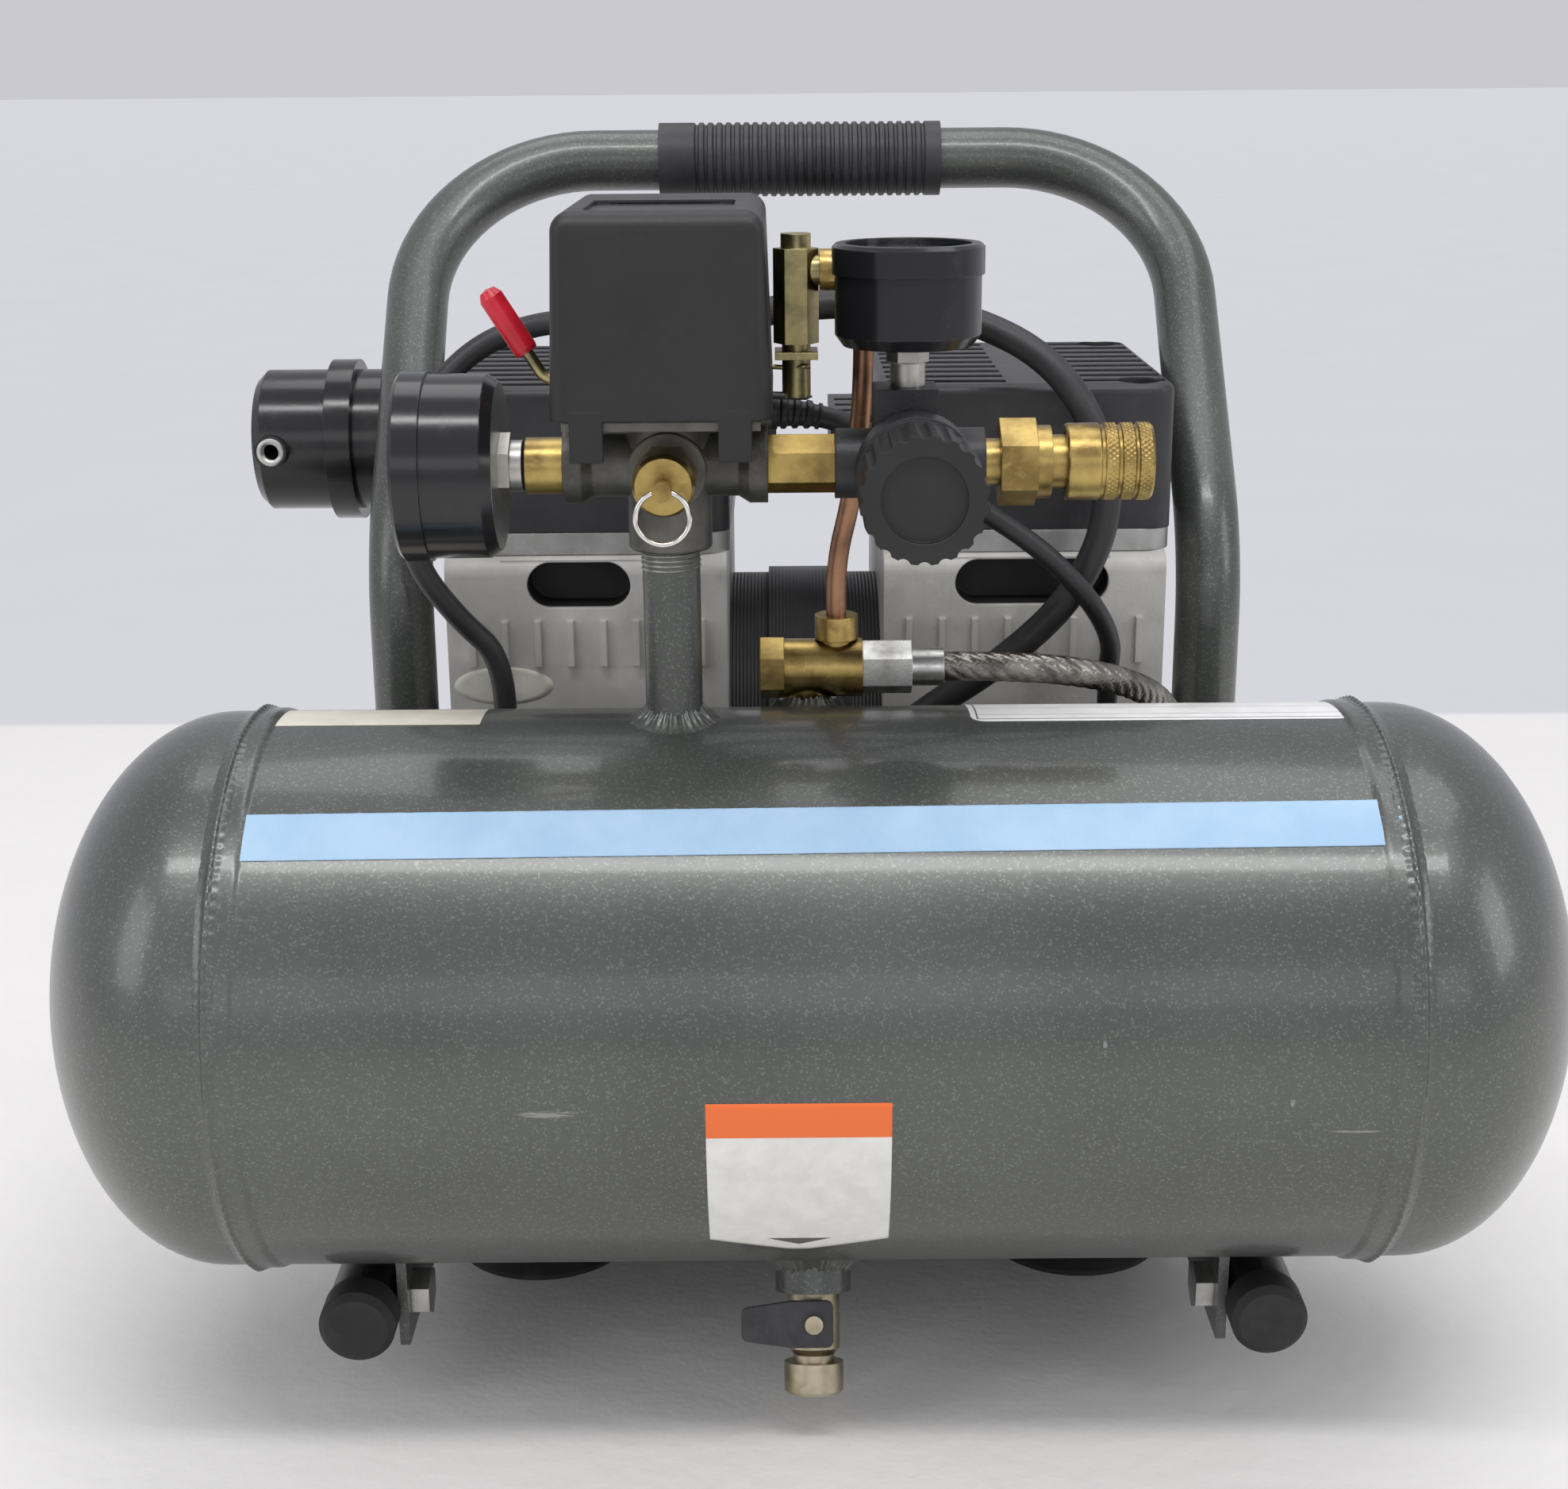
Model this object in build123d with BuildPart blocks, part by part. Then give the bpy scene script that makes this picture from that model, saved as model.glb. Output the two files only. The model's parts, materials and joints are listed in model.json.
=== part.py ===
from build123d import *
import os
from math import cos, pi, radians, sin, sqrt, tan

# Twin-cylinder oil-free compressor on a roll-bar frame, millimetres. The origin is on the floor under the
# middle of the machine, the controls face -Y and +Z is up.

# ---- driving dimensions ----
tank_r = 80.0  # outer radius of the rolled shell
tank_wall = 2.5
shell_half = 160.0  # half the length of the rolled shell
skirt = 6.0  # straight edge of a dished head
dish_depth = 50.5
tank_y = -80.0  # tank axis, in front of the middle of the machine
tank_z = 123.0

tube_r = 10.5  # roll-bar tube
tube_bore = 8.7
tube_x = 133.0  # tube centre lines, left and right
tube_z = 28.0  # height of the bottom runs
leg_y = tank_y + 115.0
lean_start_z = tank_z + 102.0
top_bar_y = tank_y + 223.0
top_bar_z = tank_z + 224.0
tube_front_y = tank_y - 25.0

motor_y = tank_y + 154.0  # crankshaft centre line
motor_z = 152.0
motor_r = 60.0
stator_half = 25.0
housing_end = 115.0
housing_r = 62.0
housing_top = 230.0
housing_wall = 4.0
cylinder_x = 70.0
bore_r = 25.0
stroke = 16.0
plate_t = 7.0
head_h = 46.0
head_half_y = 58.0
head_inner = 24.0
head_outer = 117.0
shaft_r = 6.0
turning_gap = 0.05  # radial clearance of a bush

air_z = tank_z + 152.0  # centre line of the air fittings
switch_x = -38.0  # riser pipe and pressure switch
riser_r = 8.0
cover_w = 57.0
cover_front = 42.0
cover_back = 48.0
cover_bottom = tank_z + 170.0
cover_top = tank_z + 222.0

regulator_x = 28.5
coupler_x = 48.0
floor_z = cover_bottom - 3.0  # floor of the pressure switch
neck_top = floor_z - 4.0  # top of the manifold, under the switch
check_x = 0.0
check_y = tank_y + 32.0
check_z = tank_z + 86.0

plate_z = 38.0  # underside of the base plate
foot_r = 29.0
drain_tilt = 22.0  # degrees forward of straight down

across_x = Plane.YZ
parts = {}


# ---- shared shapes ----
def turned(base, outline):
    """A body turned about the Z axis of base, from its (distance along the axis, radius) outline."""
    with BuildPart() as piece:
        with BuildSketch(Plane(origin=base.origin, x_dir=base.z_dir, z_dir=base.y_dir)):
            with BuildLine():
                Polyline(*outline, close=True)
            make_face()
        revolve(axis=Axis(base.origin, base.z_dir))
    return piece.part


def tube(base, start, end, outer, bore=0.0):
    """A plain turned length from start to end along base, solid when bore is zero."""
    return turned(base, [(start, bore), (start, outer), (end, outer), (end, bore)])


def hexagon(base, start, end, across, bore=0.0):
    """A hexagonal nut or union body along the Z axis of base."""
    with BuildPart() as piece:
        with BuildSketch(base.offset(start)):
            RegularPolygon(across / 2, 6, major_radius=False)
            if bore:
                Circle(bore, mode=Mode.SUBTRACT)
        extrude(amount=end - start)
    return piece.part


def block(low, high):
    """A square block between two corners."""
    with BuildPart() as piece:
        with Locations([((low[0] + high[0]) / 2, (low[1] + high[1]) / 2, (low[2] + high[2]) / 2)]):
            Box(high[0] - low[0], high[1] - low[1], high[2] - low[2])
    return piece.part


def axis_plane(x, y, z, direction, x_dir=None):
    """A plane at a point whose Z is the given direction."""
    return Plane(origin=(x, y, z), x_dir=x_dir, z_dir=direction)


def joined(*solids):
    """Solids that touch become one body."""
    with BuildPart() as piece:
        for solid in solids:
            add(solid)
    return piece


def route_radii(points):
    """One arc for each corner of a cord's route, as large as its two runs allow."""
    radii = []
    for before, corner, after in zip(points, points[1:], points[2:]):
        run_in = Vector(*corner) - Vector(*before)
        run_out = Vector(*after) - Vector(*corner)
        turn = run_in.get_angle(run_out)
        radii.append(0.45 * min(run_in.length, run_out.length) / tan(radians(turn / 2)))
    return radii


def swept(name, points, radius, bore=0.0):
    """A round cord, hose or tube along a route of straight runs joined by tangent arcs."""
    radii = route_radii(points)
    with BuildLine() as route:
        FilletPolyline(*points, radius=radii)
    path = route.line
    length = sum(edge.length for edge in path.edges())
    with BuildPart() as piece:
        with BuildSketch(Plane(origin=path @ 0, z_dir=path % 0)):
            Circle(radius)
            if bore:
                Circle(bore, mode=Mode.SUBTRACT)
        sweep(path=path)
    section = pi * (radius**2 - bore**2)
    print(name, "length", round(length), "mm, volume ratio", round(piece.part.volume / section / length, 4))
    print("   smallest radius", round(min(radii), 1), "radii", [round(r) for r in radii])
    return piece


def finish(name, piece):
    """Labels a finished piece and keeps it for export."""
    piece.part.label = name
    parts[name] = piece


# ---- tank ----
tank_axis = axis_plane(0, tank_y, tank_z, (1, 0, 0))
tank_solid = tube(tank_axis, -shell_half, shell_half, tank_r)
drain_dir = (0, -sin(radians(drain_tilt)), -cos(radians(drain_tilt)))
drain = axis_plane(0, tank_y, tank_z, drain_dir, x_dir=(1, 0, 0))
riser = axis_plane(switch_x, tank_y, 0, (0, 0, 1))
check_boss = axis_plane(check_x, check_y, 0, (0, 0, 1))
shell_top = tank_z + tank_r
check_top = tank_z + sqrt(tank_r**2 - (check_y - tank_y) ** 2)

with BuildPart() as tank_shell:
    add(tube(tank_axis, -shell_half, shell_half, tank_r, tank_r - tank_wall))
    add(tube(riser, tank_z, shell_top + 5, riser_r), mode=Mode.SUBTRACT)
    add(tube(check_boss, tank_z, check_top + 9, 9.3), mode=Mode.SUBTRACT)
    add(tube(drain, tank_r - 10, tank_r + 5, 10.85), mode=Mode.SUBTRACT)
finish("tank_shell", tank_shell)


with BuildPart() as right_head:
    rim = shell_half + skirt
    with BuildSketch(Plane(origin=(0, tank_y, tank_z), x_dir=(1, 0, 0), z_dir=(0, -1, 0))):
        with BuildLine():
            Line((shell_half, tank_r - tank_wall), (shell_half, tank_r))
            Line((shell_half, tank_r), (rim, tank_r))
            EllipticalCenterArc((rim, 0), dish_depth, tank_r, start_angle=0, arc_size=90)
            Line((rim + dish_depth, 0), (rim + dish_depth - tank_wall, 0))
            EllipticalCenterArc((rim, 0), dish_depth - tank_wall, tank_r - tank_wall, start_angle=0,
                                arc_size=90)
            Line((rim, tank_r - tank_wall), (shell_half, tank_r - tank_wall))
        make_face()
    revolve(axis=Axis((0, tank_y, tank_z), (1, 0, 0)))
with BuildPart() as tank_heads:
    add(right_head.part)
    mirror(about=Plane.YZ)
finish("tank_heads", tank_heads)


def seam_bead(side):
    """The rolled lip and weld bead round a seam."""
    x = side * shell_half
    lip = [(x - side * 9, tank_r), (x - side * 3, tank_r + 1.2), (x + side * 0.5, tank_r + 1.8),
           (x + side * 2.5, tank_r + 1.2), (x + side * 4, tank_r)]
    return turned(tank_axis, lip)


riser_weld = tube(riser, shell_top - 6, shell_top + 3.5, riser_r + 5, riser_r)
check_weld = tube(check_boss, check_top - 12, check_top + 2, 9.3 + 3.2, 9.3)
drain_weld = tube(drain, tank_r - 4, tank_r + 2.5, 10.85 + 3.5, 10.85)
with BuildPart() as tank_welds:
    for bead in (seam_bead(-1), seam_bead(1), riser_weld - tank_solid, check_weld - tank_solid,
                 drain_weld - tank_solid):
        add(bead)
finish("tank_welds", tank_welds)

# Riser pipe, check-valve boss and drain boss, all welded into the shell.
riser_top = air_z - 23.0
check_boss_top = check_z - 10.0
tank_fittings = joined(
    tube(riser, shell_top - 6, riser_top, riser_r, 5.5),
    tube(check_boss, check_top - 12, check_boss_top, 9.3, 4.0),
    tube(drain, tank_r - 5, tank_r + 9, 10.85, 5.0),
)
finish("tank_fittings", tank_fittings)

# Side brackets: a saddle under the tank at each bottom tube, inboard of it.
bracket_t = 3.0
bracket_x = tube_x - tube_r - bracket_t
bracket_front = tank_y - 21.0
bracket_back = tank_y + 92.0
with BuildPart() as tank_brackets:
    for left_face in (-bracket_x - bracket_t, bracket_x):
        with BuildSketch(Plane.YZ.offset(left_face)):
            with BuildLine():
                Polyline((bracket_front, 16), (bracket_back, 16), (bracket_back, plate_z - 0.5),
                         (tank_y + 66, 52), (tank_y + 60, tank_z - 30), (tank_y - 50, tank_z - 30),
                         (bracket_front - 8, 52), (bracket_front, 44), close=True)
            make_face()
        extrude(amount=bracket_t)
    add(tank_solid, mode=Mode.SUBTRACT)
finish("tank_brackets", tank_brackets)

# ---- roll bar ----
lean = (top_bar_y - leg_y, top_bar_z - lean_start_z)
bottom_bend = 48.0
lean_bend = 60.0
corner_bend = 60.0
hoop_points = [
    (-tube_x, tube_front_y, tube_z), (-tube_x, leg_y, tube_z), (-tube_x, leg_y, lean_start_z),
    (-tube_x, top_bar_y, top_bar_z), (tube_x, top_bar_y, top_bar_z), (tube_x, leg_y, lean_start_z),
    (tube_x, leg_y, tube_z), (tube_x, tube_front_y, tube_z),
]
hoop_bends = [bottom_bend, lean_bend, corner_bend, corner_bend, lean_bend, bottom_bend]
with BuildLine() as hoop_line:
    FilletPolyline(*hoop_points, radius=hoop_bends)
with BuildPart() as hoop_frame:
    with BuildSketch(Plane(origin=hoop_line.line @ 0, z_dir=hoop_line.line % 0)):
        Circle(tube_r)
        Circle(tube_bore, mode=Mode.SUBTRACT)
    sweep(path=hoop_line.line)
finish("hoop_frame", hoop_frame)

grip_r = 12.9
grip_half = 50.0
rib_pitch = 3.2
bar = axis_plane(0, top_bar_y, top_bar_z, (1, 0, 0))
grip_outline = [(-grip_half, tube_r), (-grip_half, grip_r), (-grip_half + 12.6, grip_r)]
for rib in range(26):
    start = -grip_half + 13.2 + rib * rib_pitch
    groove = grip_r - 0.8
    grip_outline += [(start, groove), (start + 0.8, groove), (start + 1.2, grip_r), (start + 2.6, grip_r)]
grip_outline += [(grip_half, grip_r), (grip_half, tube_r)]
finish("handle_grip", joined(turned(bar, grip_outline)))

with BuildPart() as frame_end_caps:
    for x in (-tube_x, tube_x):
        add(turned(axis_plane(x, tube_front_y, tube_z, (0, -1, 0)),
                   [(-3.5, tube_r), (-3.5, 11.2), (5.5, 11.2), (7.5, 9.2), (7.5, 0), (0, 0), (0, tube_r)]))
finish("frame_end_caps", frame_end_caps)

# Base plate under the pump, with flanges turned down inside the brackets.
plate_front = tank_y + 50.0
plate_back = motor_y + 82.0
plate_half = bracket_x - 0.3
with BuildPart() as base_plate:
    with BuildSketch(Plane.XZ.offset(-plate_back)):
        with BuildLine():
            Polyline((-plate_half, 16), (-plate_half, plate_z + 3), (plate_half, plate_z + 3), (plate_half, 16),
                     (plate_half - 3, 16), (plate_half - 3, plate_z), (-plate_half + 3, plate_z),
                     (-plate_half + 3, 16), close=True)
        make_face()
    extrude(amount=plate_back - plate_front)
    with Locations([(0, (plate_front + plate_back) / 2, plate_z)]):
        with GridLocations(2 * 89, plate_back - plate_front - 46, 2, 2):
            Hole(radius=4.2)
finish("base_plate", base_plate)

# Suction feet: a cup, a neck and a stud through the base plate.
foot_spots = [(x, y) for x in (-89, 89) for y in (plate_front + 23, plate_back - 23)]
cup = [(0, 16), (0, foot_r), (1.5, foot_r), (8, 20), (14, 10.5),
       (plate_z, 10.5), (plate_z, 0), (12, 0), (7, 7)]
with BuildPart() as suction_feet:
    for x, y in foot_spots:
        add(turned(axis_plane(x, y, 0, (0, 0, 1)), cup))
        add(tube(axis_plane(x, y, plate_z, (0, 0, 1)), 0, 12, 4.0))
finish("suction_feet", suction_feet)

# Hexagon bolts: brackets to tubes, foot nuts and cylinder-head bolts.
head_z = housing_top + plate_t
head_bolt_spots = [
    (side * cylinder_x + dx, motor_y + dy) for side in (-1, 1) for dx in (-36, 36) for dy in (-49, 49)
]
with BuildPart() as hex_bolts:
    for side in (-1, 1):
        for y in (tank_y - 10, tank_y + 38):
            add(hexagon(axis_plane(side * bracket_x, y, tube_z, (-side, 0, 0)), 0, 5.5, 13))
    for x, y in foot_spots:
        add(hexagon(axis_plane(x, y, plate_z + 3, (0, 0, 1)), 0, 6.5, 13, 4.0))
    for x, y in head_bolt_spots:
        add(joined(hexagon(axis_plane(x, y, head_z + 24, (0, 0, 1)), 0, 5, 10),
                   tube(axis_plane(x, y, head_z - plate_t - 6, (0, 0, 1)), 0, plate_t + 30, 3.0)).part)
finish("hex_bolts", hex_bolts)

# ---- pump ----
shaft = axis_plane(0, motor_y, motor_z, (1, 0, 0))
mount_top = 66.0
mount_dx = 42.0
mount_dy = 40.0
mount_spots = [(side * cylinder_x, motor_y + dy) for side in (-1, 1) for dy in (-mount_dy, mount_dy)]
with BuildPart() as pump_isolators:
    for x, y in mount_spots:
        add(turned(axis_plane(x, y, plate_z + 3, (0, 0, 1)),
                   [(0, 0), (0, 13), (8, 13), (11, 11), (14, 13), (mount_top - plate_z - 3, 13),
                    (mount_top - plate_z - 3, 0)]))
finish("pump_isolators", pump_isolators)

window_z = tank_z + 97.8  # middle of the vent windows
window_h = 14.5


def housing(side):
    """A cast end housing: crankcase, cylinder block, ribs, vent windows, end grille and feet."""
    inner_face = stator_half
    low_x = inner_face if side > 0 else -housing_end
    window_x = 72.3
    window_w = 33.0 if side < 0 else 49.0
    with BuildPart() as piece:
        with BuildSketch(across_x.offset(low_x)):
            with Locations((motor_y, motor_z)):
                Circle(housing_r)
            with Locations((motor_y, (motor_z + housing_top) / 2)):
                Rectangle(2 * housing_r, housing_top - motor_z)
        extrude(amount=housing_end - inner_face)
        with BuildSketch(across_x.offset(side * cylinder_x - 22)):
            with Locations((motor_y, (mount_top + motor_z - 40) / 2)):
                Rectangle(2 * mount_dy + 26, motor_z - 40 - mount_top)
        extrude(amount=44)
        vertical = piece.edges().filter_by(Axis.X).sort_by(Axis.Z)[-2:]
        fillet(vertical, 6)
        # The hollow runs from the motor face to the end wall, with a web for the bearing left standing.
        with BuildSketch(across_x.offset(low_x if side > 0 else low_x + housing_wall)):
            with Locations((motor_y, motor_z)):
                Circle(housing_r - housing_wall)
        extrude(amount=housing_end - inner_face - housing_wall, mode=Mode.SUBTRACT)
        with BuildSketch(across_x.offset(side * 44 - 3)):
            with Locations((motor_y, motor_z)):
                Circle(housing_r - housing_wall)
                Circle(14, mode=Mode.SUBTRACT)
                with PolarLocations(36, 6, start_angle=30):
                    Circle(12, mode=Mode.SUBTRACT)
        extrude(amount=6)
        # Cylinder bore, down into the crankcase.
        with BuildSketch(Plane.XY.offset(motor_z)):
            with Locations((side * cylinder_x, motor_y)):
                Circle(bore_r + 2.5)
        extrude(amount=housing_top - motor_z, mode=Mode.SUBTRACT)
        # Round the block, cooling pockets open through the windows in the front.
        with BuildSketch(Plane.XZ.offset(-(motor_y - housing_r - 1))):
            with Locations((side * window_x, window_z)):
                SlotOverall(window_w, window_h)
        extrude(amount=-15, mode=Mode.SUBTRACT)
        # Vertical ribs across the front, below and between the windows.
        with BuildSketch(Plane.XZ.offset(-(motor_y - housing_r))):
            with Locations((side * 70, tank_z + 79)):
                with GridLocations(10.5, 1, 8, 1):
                    Rectangle(2.2, 15)
        extrude(amount=2.2)
    return piece


def end_grille(side):
    """Slots round the shaft end of a housing."""
    with BuildPart() as piece:
        with BuildSketch(axis_plane(side * (housing_end - 8), motor_y, motor_z, (side, 0, 0))):
            with PolarLocations(34, 12):
                SlotOverall(34, 7)
        extrude(amount=16)
    return piece.part


for side, name in ((-1, "motor_housing_left"), (1, "motor_housing_right")):
    shell = housing(side)
    grille = end_grille(side)
    flange_screws = [
        tube(axis_plane(x, y, housing_top - 12, (0, 0, 1)), 0, 30, 3.0) for x, y in head_bolt_spots
    ]
    with BuildPart() as cast:
        add(shell.part)
        add(grille, mode=Mode.SUBTRACT)
        for hole in flange_screws:
            add(hole, mode=Mode.SUBTRACT)
    finish(name, cast)

# Stator: the lamination pack with its windings, both press-fitted between the housings.
with BuildPart() as stator:
    add(turned(shaft, [(-stator_half, 36), (-stator_half, motor_r - 2), (-12, motor_r - 2), (-12, motor_r),
                       (12, motor_r), (12, motor_r - 2), (stator_half, motor_r - 2), (stator_half, 36)]))
    for side in (-1, 1):
        add(turned(shaft, [(side * stator_half, 37), (side * stator_half, 55), (side * 34, 54), (side * 37, 50),
                           (side * 37, 41), (side * 34, 37)]))
finish("stator", stator)

# Rotor: the cage, the shaft with a crank disc and pin at each end, and two fans.
crank = stroke / 2
rotor_core = joined(tube(shaft, -stator_half - 2, stator_half + 2, 35.4, shaft_r))
finish("rotor_core", rotor_core)
with BuildPart() as crankshaft:
    add(tube(shaft, -56, 56, shaft_r))
    for side in (-1, 1):
        add(tube(shaft, side * 56, side * 62, 19))
        add(tube(axis_plane(0, motor_y - crank, motor_z, (1, 0, 0)), side * 62, side * 78, 4))
finish("crankshaft", crankshaft)


def fan(side):
    """A seven-bladed fan on the shaft between the bearing and the crank disc."""
    with BuildPart() as piece:
        with BuildSketch(axis_plane(side * 50, motor_y, motor_z, (side, 0, 0))):
            Circle(14)
            with PolarLocations(22, 7):
                Rectangle(26, 9)
            Circle(shaft_r, mode=Mode.SUBTRACT)
        extrude(amount=4.5)
    return piece.part


finish("cooling_fans", joined(fan(-1), fan(1)))

with BuildPart() as shaft_bearings:
    for side in (-1, 1):
        add(tube(shaft, side * 40, side * 48.5, 14, shaft_r + turning_gap))
finish("shaft_bearings", shaft_bearings)

with BuildPart() as cylinder_sleeves:
    for side in (-1, 1):
        add(tube(axis_plane(side * cylinder_x, motor_y, 0, (0, 0, 1)), 189, housing_top,
                 bore_r + 2.5, bore_r))
finish("cylinder_sleeves", cylinder_sleeves)

# One-piece piston and rod; its ring clears the crank pin all the way round.
big_end_bore = crank + 4 + crank + 0.8
big_end_r = big_end_bore + 5
piston_top = housing_top - crank - 1.0
for side, name in ((-1, "piston_left"), (1, "piston_right")):
    up = axis_plane(side * cylinder_x, motor_y, 0, (0, 0, 1))
    crown = turned(up, [(piston_top - 9, 0), (piston_top - 9, bore_r - 1.2), (piston_top - 4, bore_r - 1.2),
                        (piston_top - 3, bore_r - 0.1), (piston_top, bore_r - 0.1), (piston_top, 0)])
    ring = tube(axis_plane(side * cylinder_x, motor_y, motor_z, (1, 0, 0)), -5, 5, big_end_r, big_end_bore)
    rod = block((side * cylinder_x - 4, motor_y - 7, motor_z + big_end_r - 2),
                (side * cylinder_x + 4, motor_y + 7, piston_top - 9))
    finish(name, joined(crown, ring, rod))


def on_head(side, low, high):
    """A block given for the right-hand cylinder, mirrored for the left one."""
    if side > 0:
        return block(low, high)
    return block((-high[0], low[1], low[2]), (-low[0], high[1], high[2]))


with BuildPart() as valve_plates:
    for side in (-1, 1):
        with BuildSketch(Plane.XY.offset(housing_top)):
            with Locations((side * (head_inner + head_outer) / 2, motor_y)):
                RectangleRounded(head_outer - head_inner, 2 * head_half_y, 9)
            for dx, dy in ((-8, 0), (8, 0)):
                with Locations((side * cylinder_x + dx, motor_y + dy)):
                    Circle(3, mode=Mode.SUBTRACT)
            with Locations(*[spot for spot in head_bolt_spots if spot[0] * side > 0]):
                Circle(3, mode=Mode.SUBTRACT)
        extrude(amount=plate_t)
finish("valve_plates", valve_plates)

slots = 9
slot_w = 6.2
slot_pitch = 12.0
spine = 13.0
port_z = head_z + 20.0
filter_y = tank_y + 190.0
filter_z = tank_z + 130.0


def cylinder_head(side):
    """A finned head: slots across the top either side of a spine, and a valve chest on the inner face."""
    middle = side * (head_inner + head_outer) / 2
    with BuildPart() as piece:
        with BuildSketch(Plane.XY.offset(head_z)):
            with Locations((middle, motor_y)):
                RectangleRounded(head_outer - head_inner, 2 * head_half_y, 7)
        extrude(amount=head_h)
        fillet(piece.faces().sort_by(Axis.Z)[-1].edges(), 3)
        with BuildSketch(Plane.XY.offset(head_z + head_h)):
            with Locations((middle, motor_y)):
                with GridLocations((head_outer - head_inner) / 2 + 4, slot_pitch, 2, slots):
                    Rectangle((head_outer - head_inner) / 2 + 4 - spine, slot_w)
        extrude(amount=-19, mode=Mode.SUBTRACT)
        with BuildSketch(Plane.XY.offset(head_z + 24)):
            with Locations(*[spot for spot in head_bolt_spots if spot[0] * side > 0]):
                Circle(7)
        extrude(amount=head_h, mode=Mode.SUBTRACT)
        with BuildSketch(Plane.XY.offset(head_z)):
            with Locations(*[spot for spot in head_bolt_spots if spot[0] * side > 0]):
                Circle(3)
        extrude(amount=head_h, mode=Mode.SUBTRACT)
        with BuildSketch(Plane.XY.offset(head_z + 8)):
            with Locations((side * (head_inner - 7.5), motor_y)):
                Rectangle(15, 52)
        extrude(amount=24)
        with BuildSketch(Plane.XY.offset(head_z + 32)):
            with Locations((side * (head_inner - 7.5), motor_y)):
                with GridLocations(1, 13, 1, 3):
                    Rectangle(11, 5)
        extrude(amount=-9, mode=Mode.SUBTRACT)
    return piece


for side, name in ((-1, "cylinder_head_left"), (1, "cylinder_head_right")):
    finish(name, cylinder_head(side))

# Crossover pipe between the valve chests, and the outlet elbow on the end of the right housing.
chest_face = head_inner - 15.0
elbow_y = tank_y + 87.0
elbow_z = 150.0
elbow_x = housing_end + 4.6
hose_r = 4.4
with BuildPart() as discharge_fittings:
    add(tube(axis_plane(0, motor_y, head_z + 16, (1, 0, 0)), -chest_face, chest_face, 5.5, 3.5))
    add(joined(block((housing_end, elbow_y - 5, elbow_z - 26), (housing_end + 9, elbow_y + 12, elbow_z - 10)),
               tube(axis_plane(elbow_x, elbow_y, 0, (0, 0, 1)), elbow_z - 14, elbow_z - 6, 4.4)).part)
finish("discharge_fittings", discharge_fittings)

# Intake filter on the left head: body, clipped cap and the inlet port that faces forward.
filter_axis = axis_plane(-head_outer, filter_y, filter_z, (-1, 0, 0))
intake_filter_body = joined(
    turned(filter_axis, [(0, 4), (0, 8), (5, 8), (5, 22.5), (7, 24.5), (39, 24.5), (39, 22), (8, 22), (8, 4)]),
)
finish("intake_filter_body", intake_filter_body)
inlet = axis_plane(-head_outer - 66, filter_y - 22, filter_z, (0, -1, 0))
inlet_bore = 3.5
inlet_in = 5.0
inlet_out = 7.0
with BuildPart() as intake_filter_cap:
    add(turned(filter_axis, [(39, 20), (39, 28), (48, 28), (48, 24.5), (71, 24.5),
                             (74, 21.5), (74, 0), (71, 0), (71, 20)]))
    add(tube(inlet, -inlet_in, inlet_out, 5.5))
    add(tube(inlet, -inlet_in, inlet_out, inlet_bore), mode=Mode.SUBTRACT)
finish("intake_filter_cap", intake_filter_cap)

# ---- pressure switch ----
up_switch = axis_plane(switch_x, tank_y, 0, (0, 0, 1))
along_air = axis_plane(0, tank_y, air_z, (1, 0, 0))
manifold_left = switch_x - 28.5
manifold_right = switch_x + 27.0
with BuildPart() as switch_manifold:
    add(turned(along_air, [(manifold_left, 0), (manifold_left, 10.5), (manifold_left + 5, 10.5),
                           (manifold_left + 8, 8.6), (manifold_right - 8, 8.6), (manifold_right - 5, 10.5),
                           (manifold_right, 10.5), (manifold_right, 0)]))
    add(tube(up_switch, riser_top, neck_top, 11.5))
    add(tube(axis_plane(switch_x, tank_y, air_z, (0, -1, 0)), 0, 13, 10.5))
    fillet(switch_manifold.edges().filter_by(GeomType.CIRCLE).group_by(Axis.Z)[0], 1.2)
    add(tube(along_air, manifold_left, manifold_right, 4), mode=Mode.SUBTRACT)
    add(tube(up_switch, riser_top, neck_top, 4), mode=Mode.SUBTRACT)
    add(tube(axis_plane(switch_x, tank_y, air_z, (0, -1, 0)), 0, 13, 4), mode=Mode.SUBTRACT)
finish("switch_manifold", switch_manifold)

# Switch base: the diaphragm bowl, the floor under the cover and the contact block inside it.
side_gland = axis_plane(switch_x + 20, tank_y + 35, floor_z - 6, (1, 0, 0))
with BuildPart() as switch_base:
    add(turned(up_switch, [(neck_top, 4), (neck_top, 12), (floor_z - 1, 14), (floor_z, 14), (floor_z, 4)]))
    add(block((switch_x - cover_w / 2 + 3, tank_y - cover_front + 3, floor_z),
              (switch_x + cover_w / 2 - 3, tank_y + cover_back - 3, floor_z + 2.5)))
    add(block((switch_x - 14, tank_y - 24, floor_z + 2.5), (switch_x + 20, tank_y + 30, floor_z + 30)))
    add(block((switch_x + 10, tank_y + 29, floor_z - 12), (switch_x + 22, tank_y + 41, floor_z)))
    add(tube(side_gland, 0, 8, 5.2))
finish("switch_base", switch_base)

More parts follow.
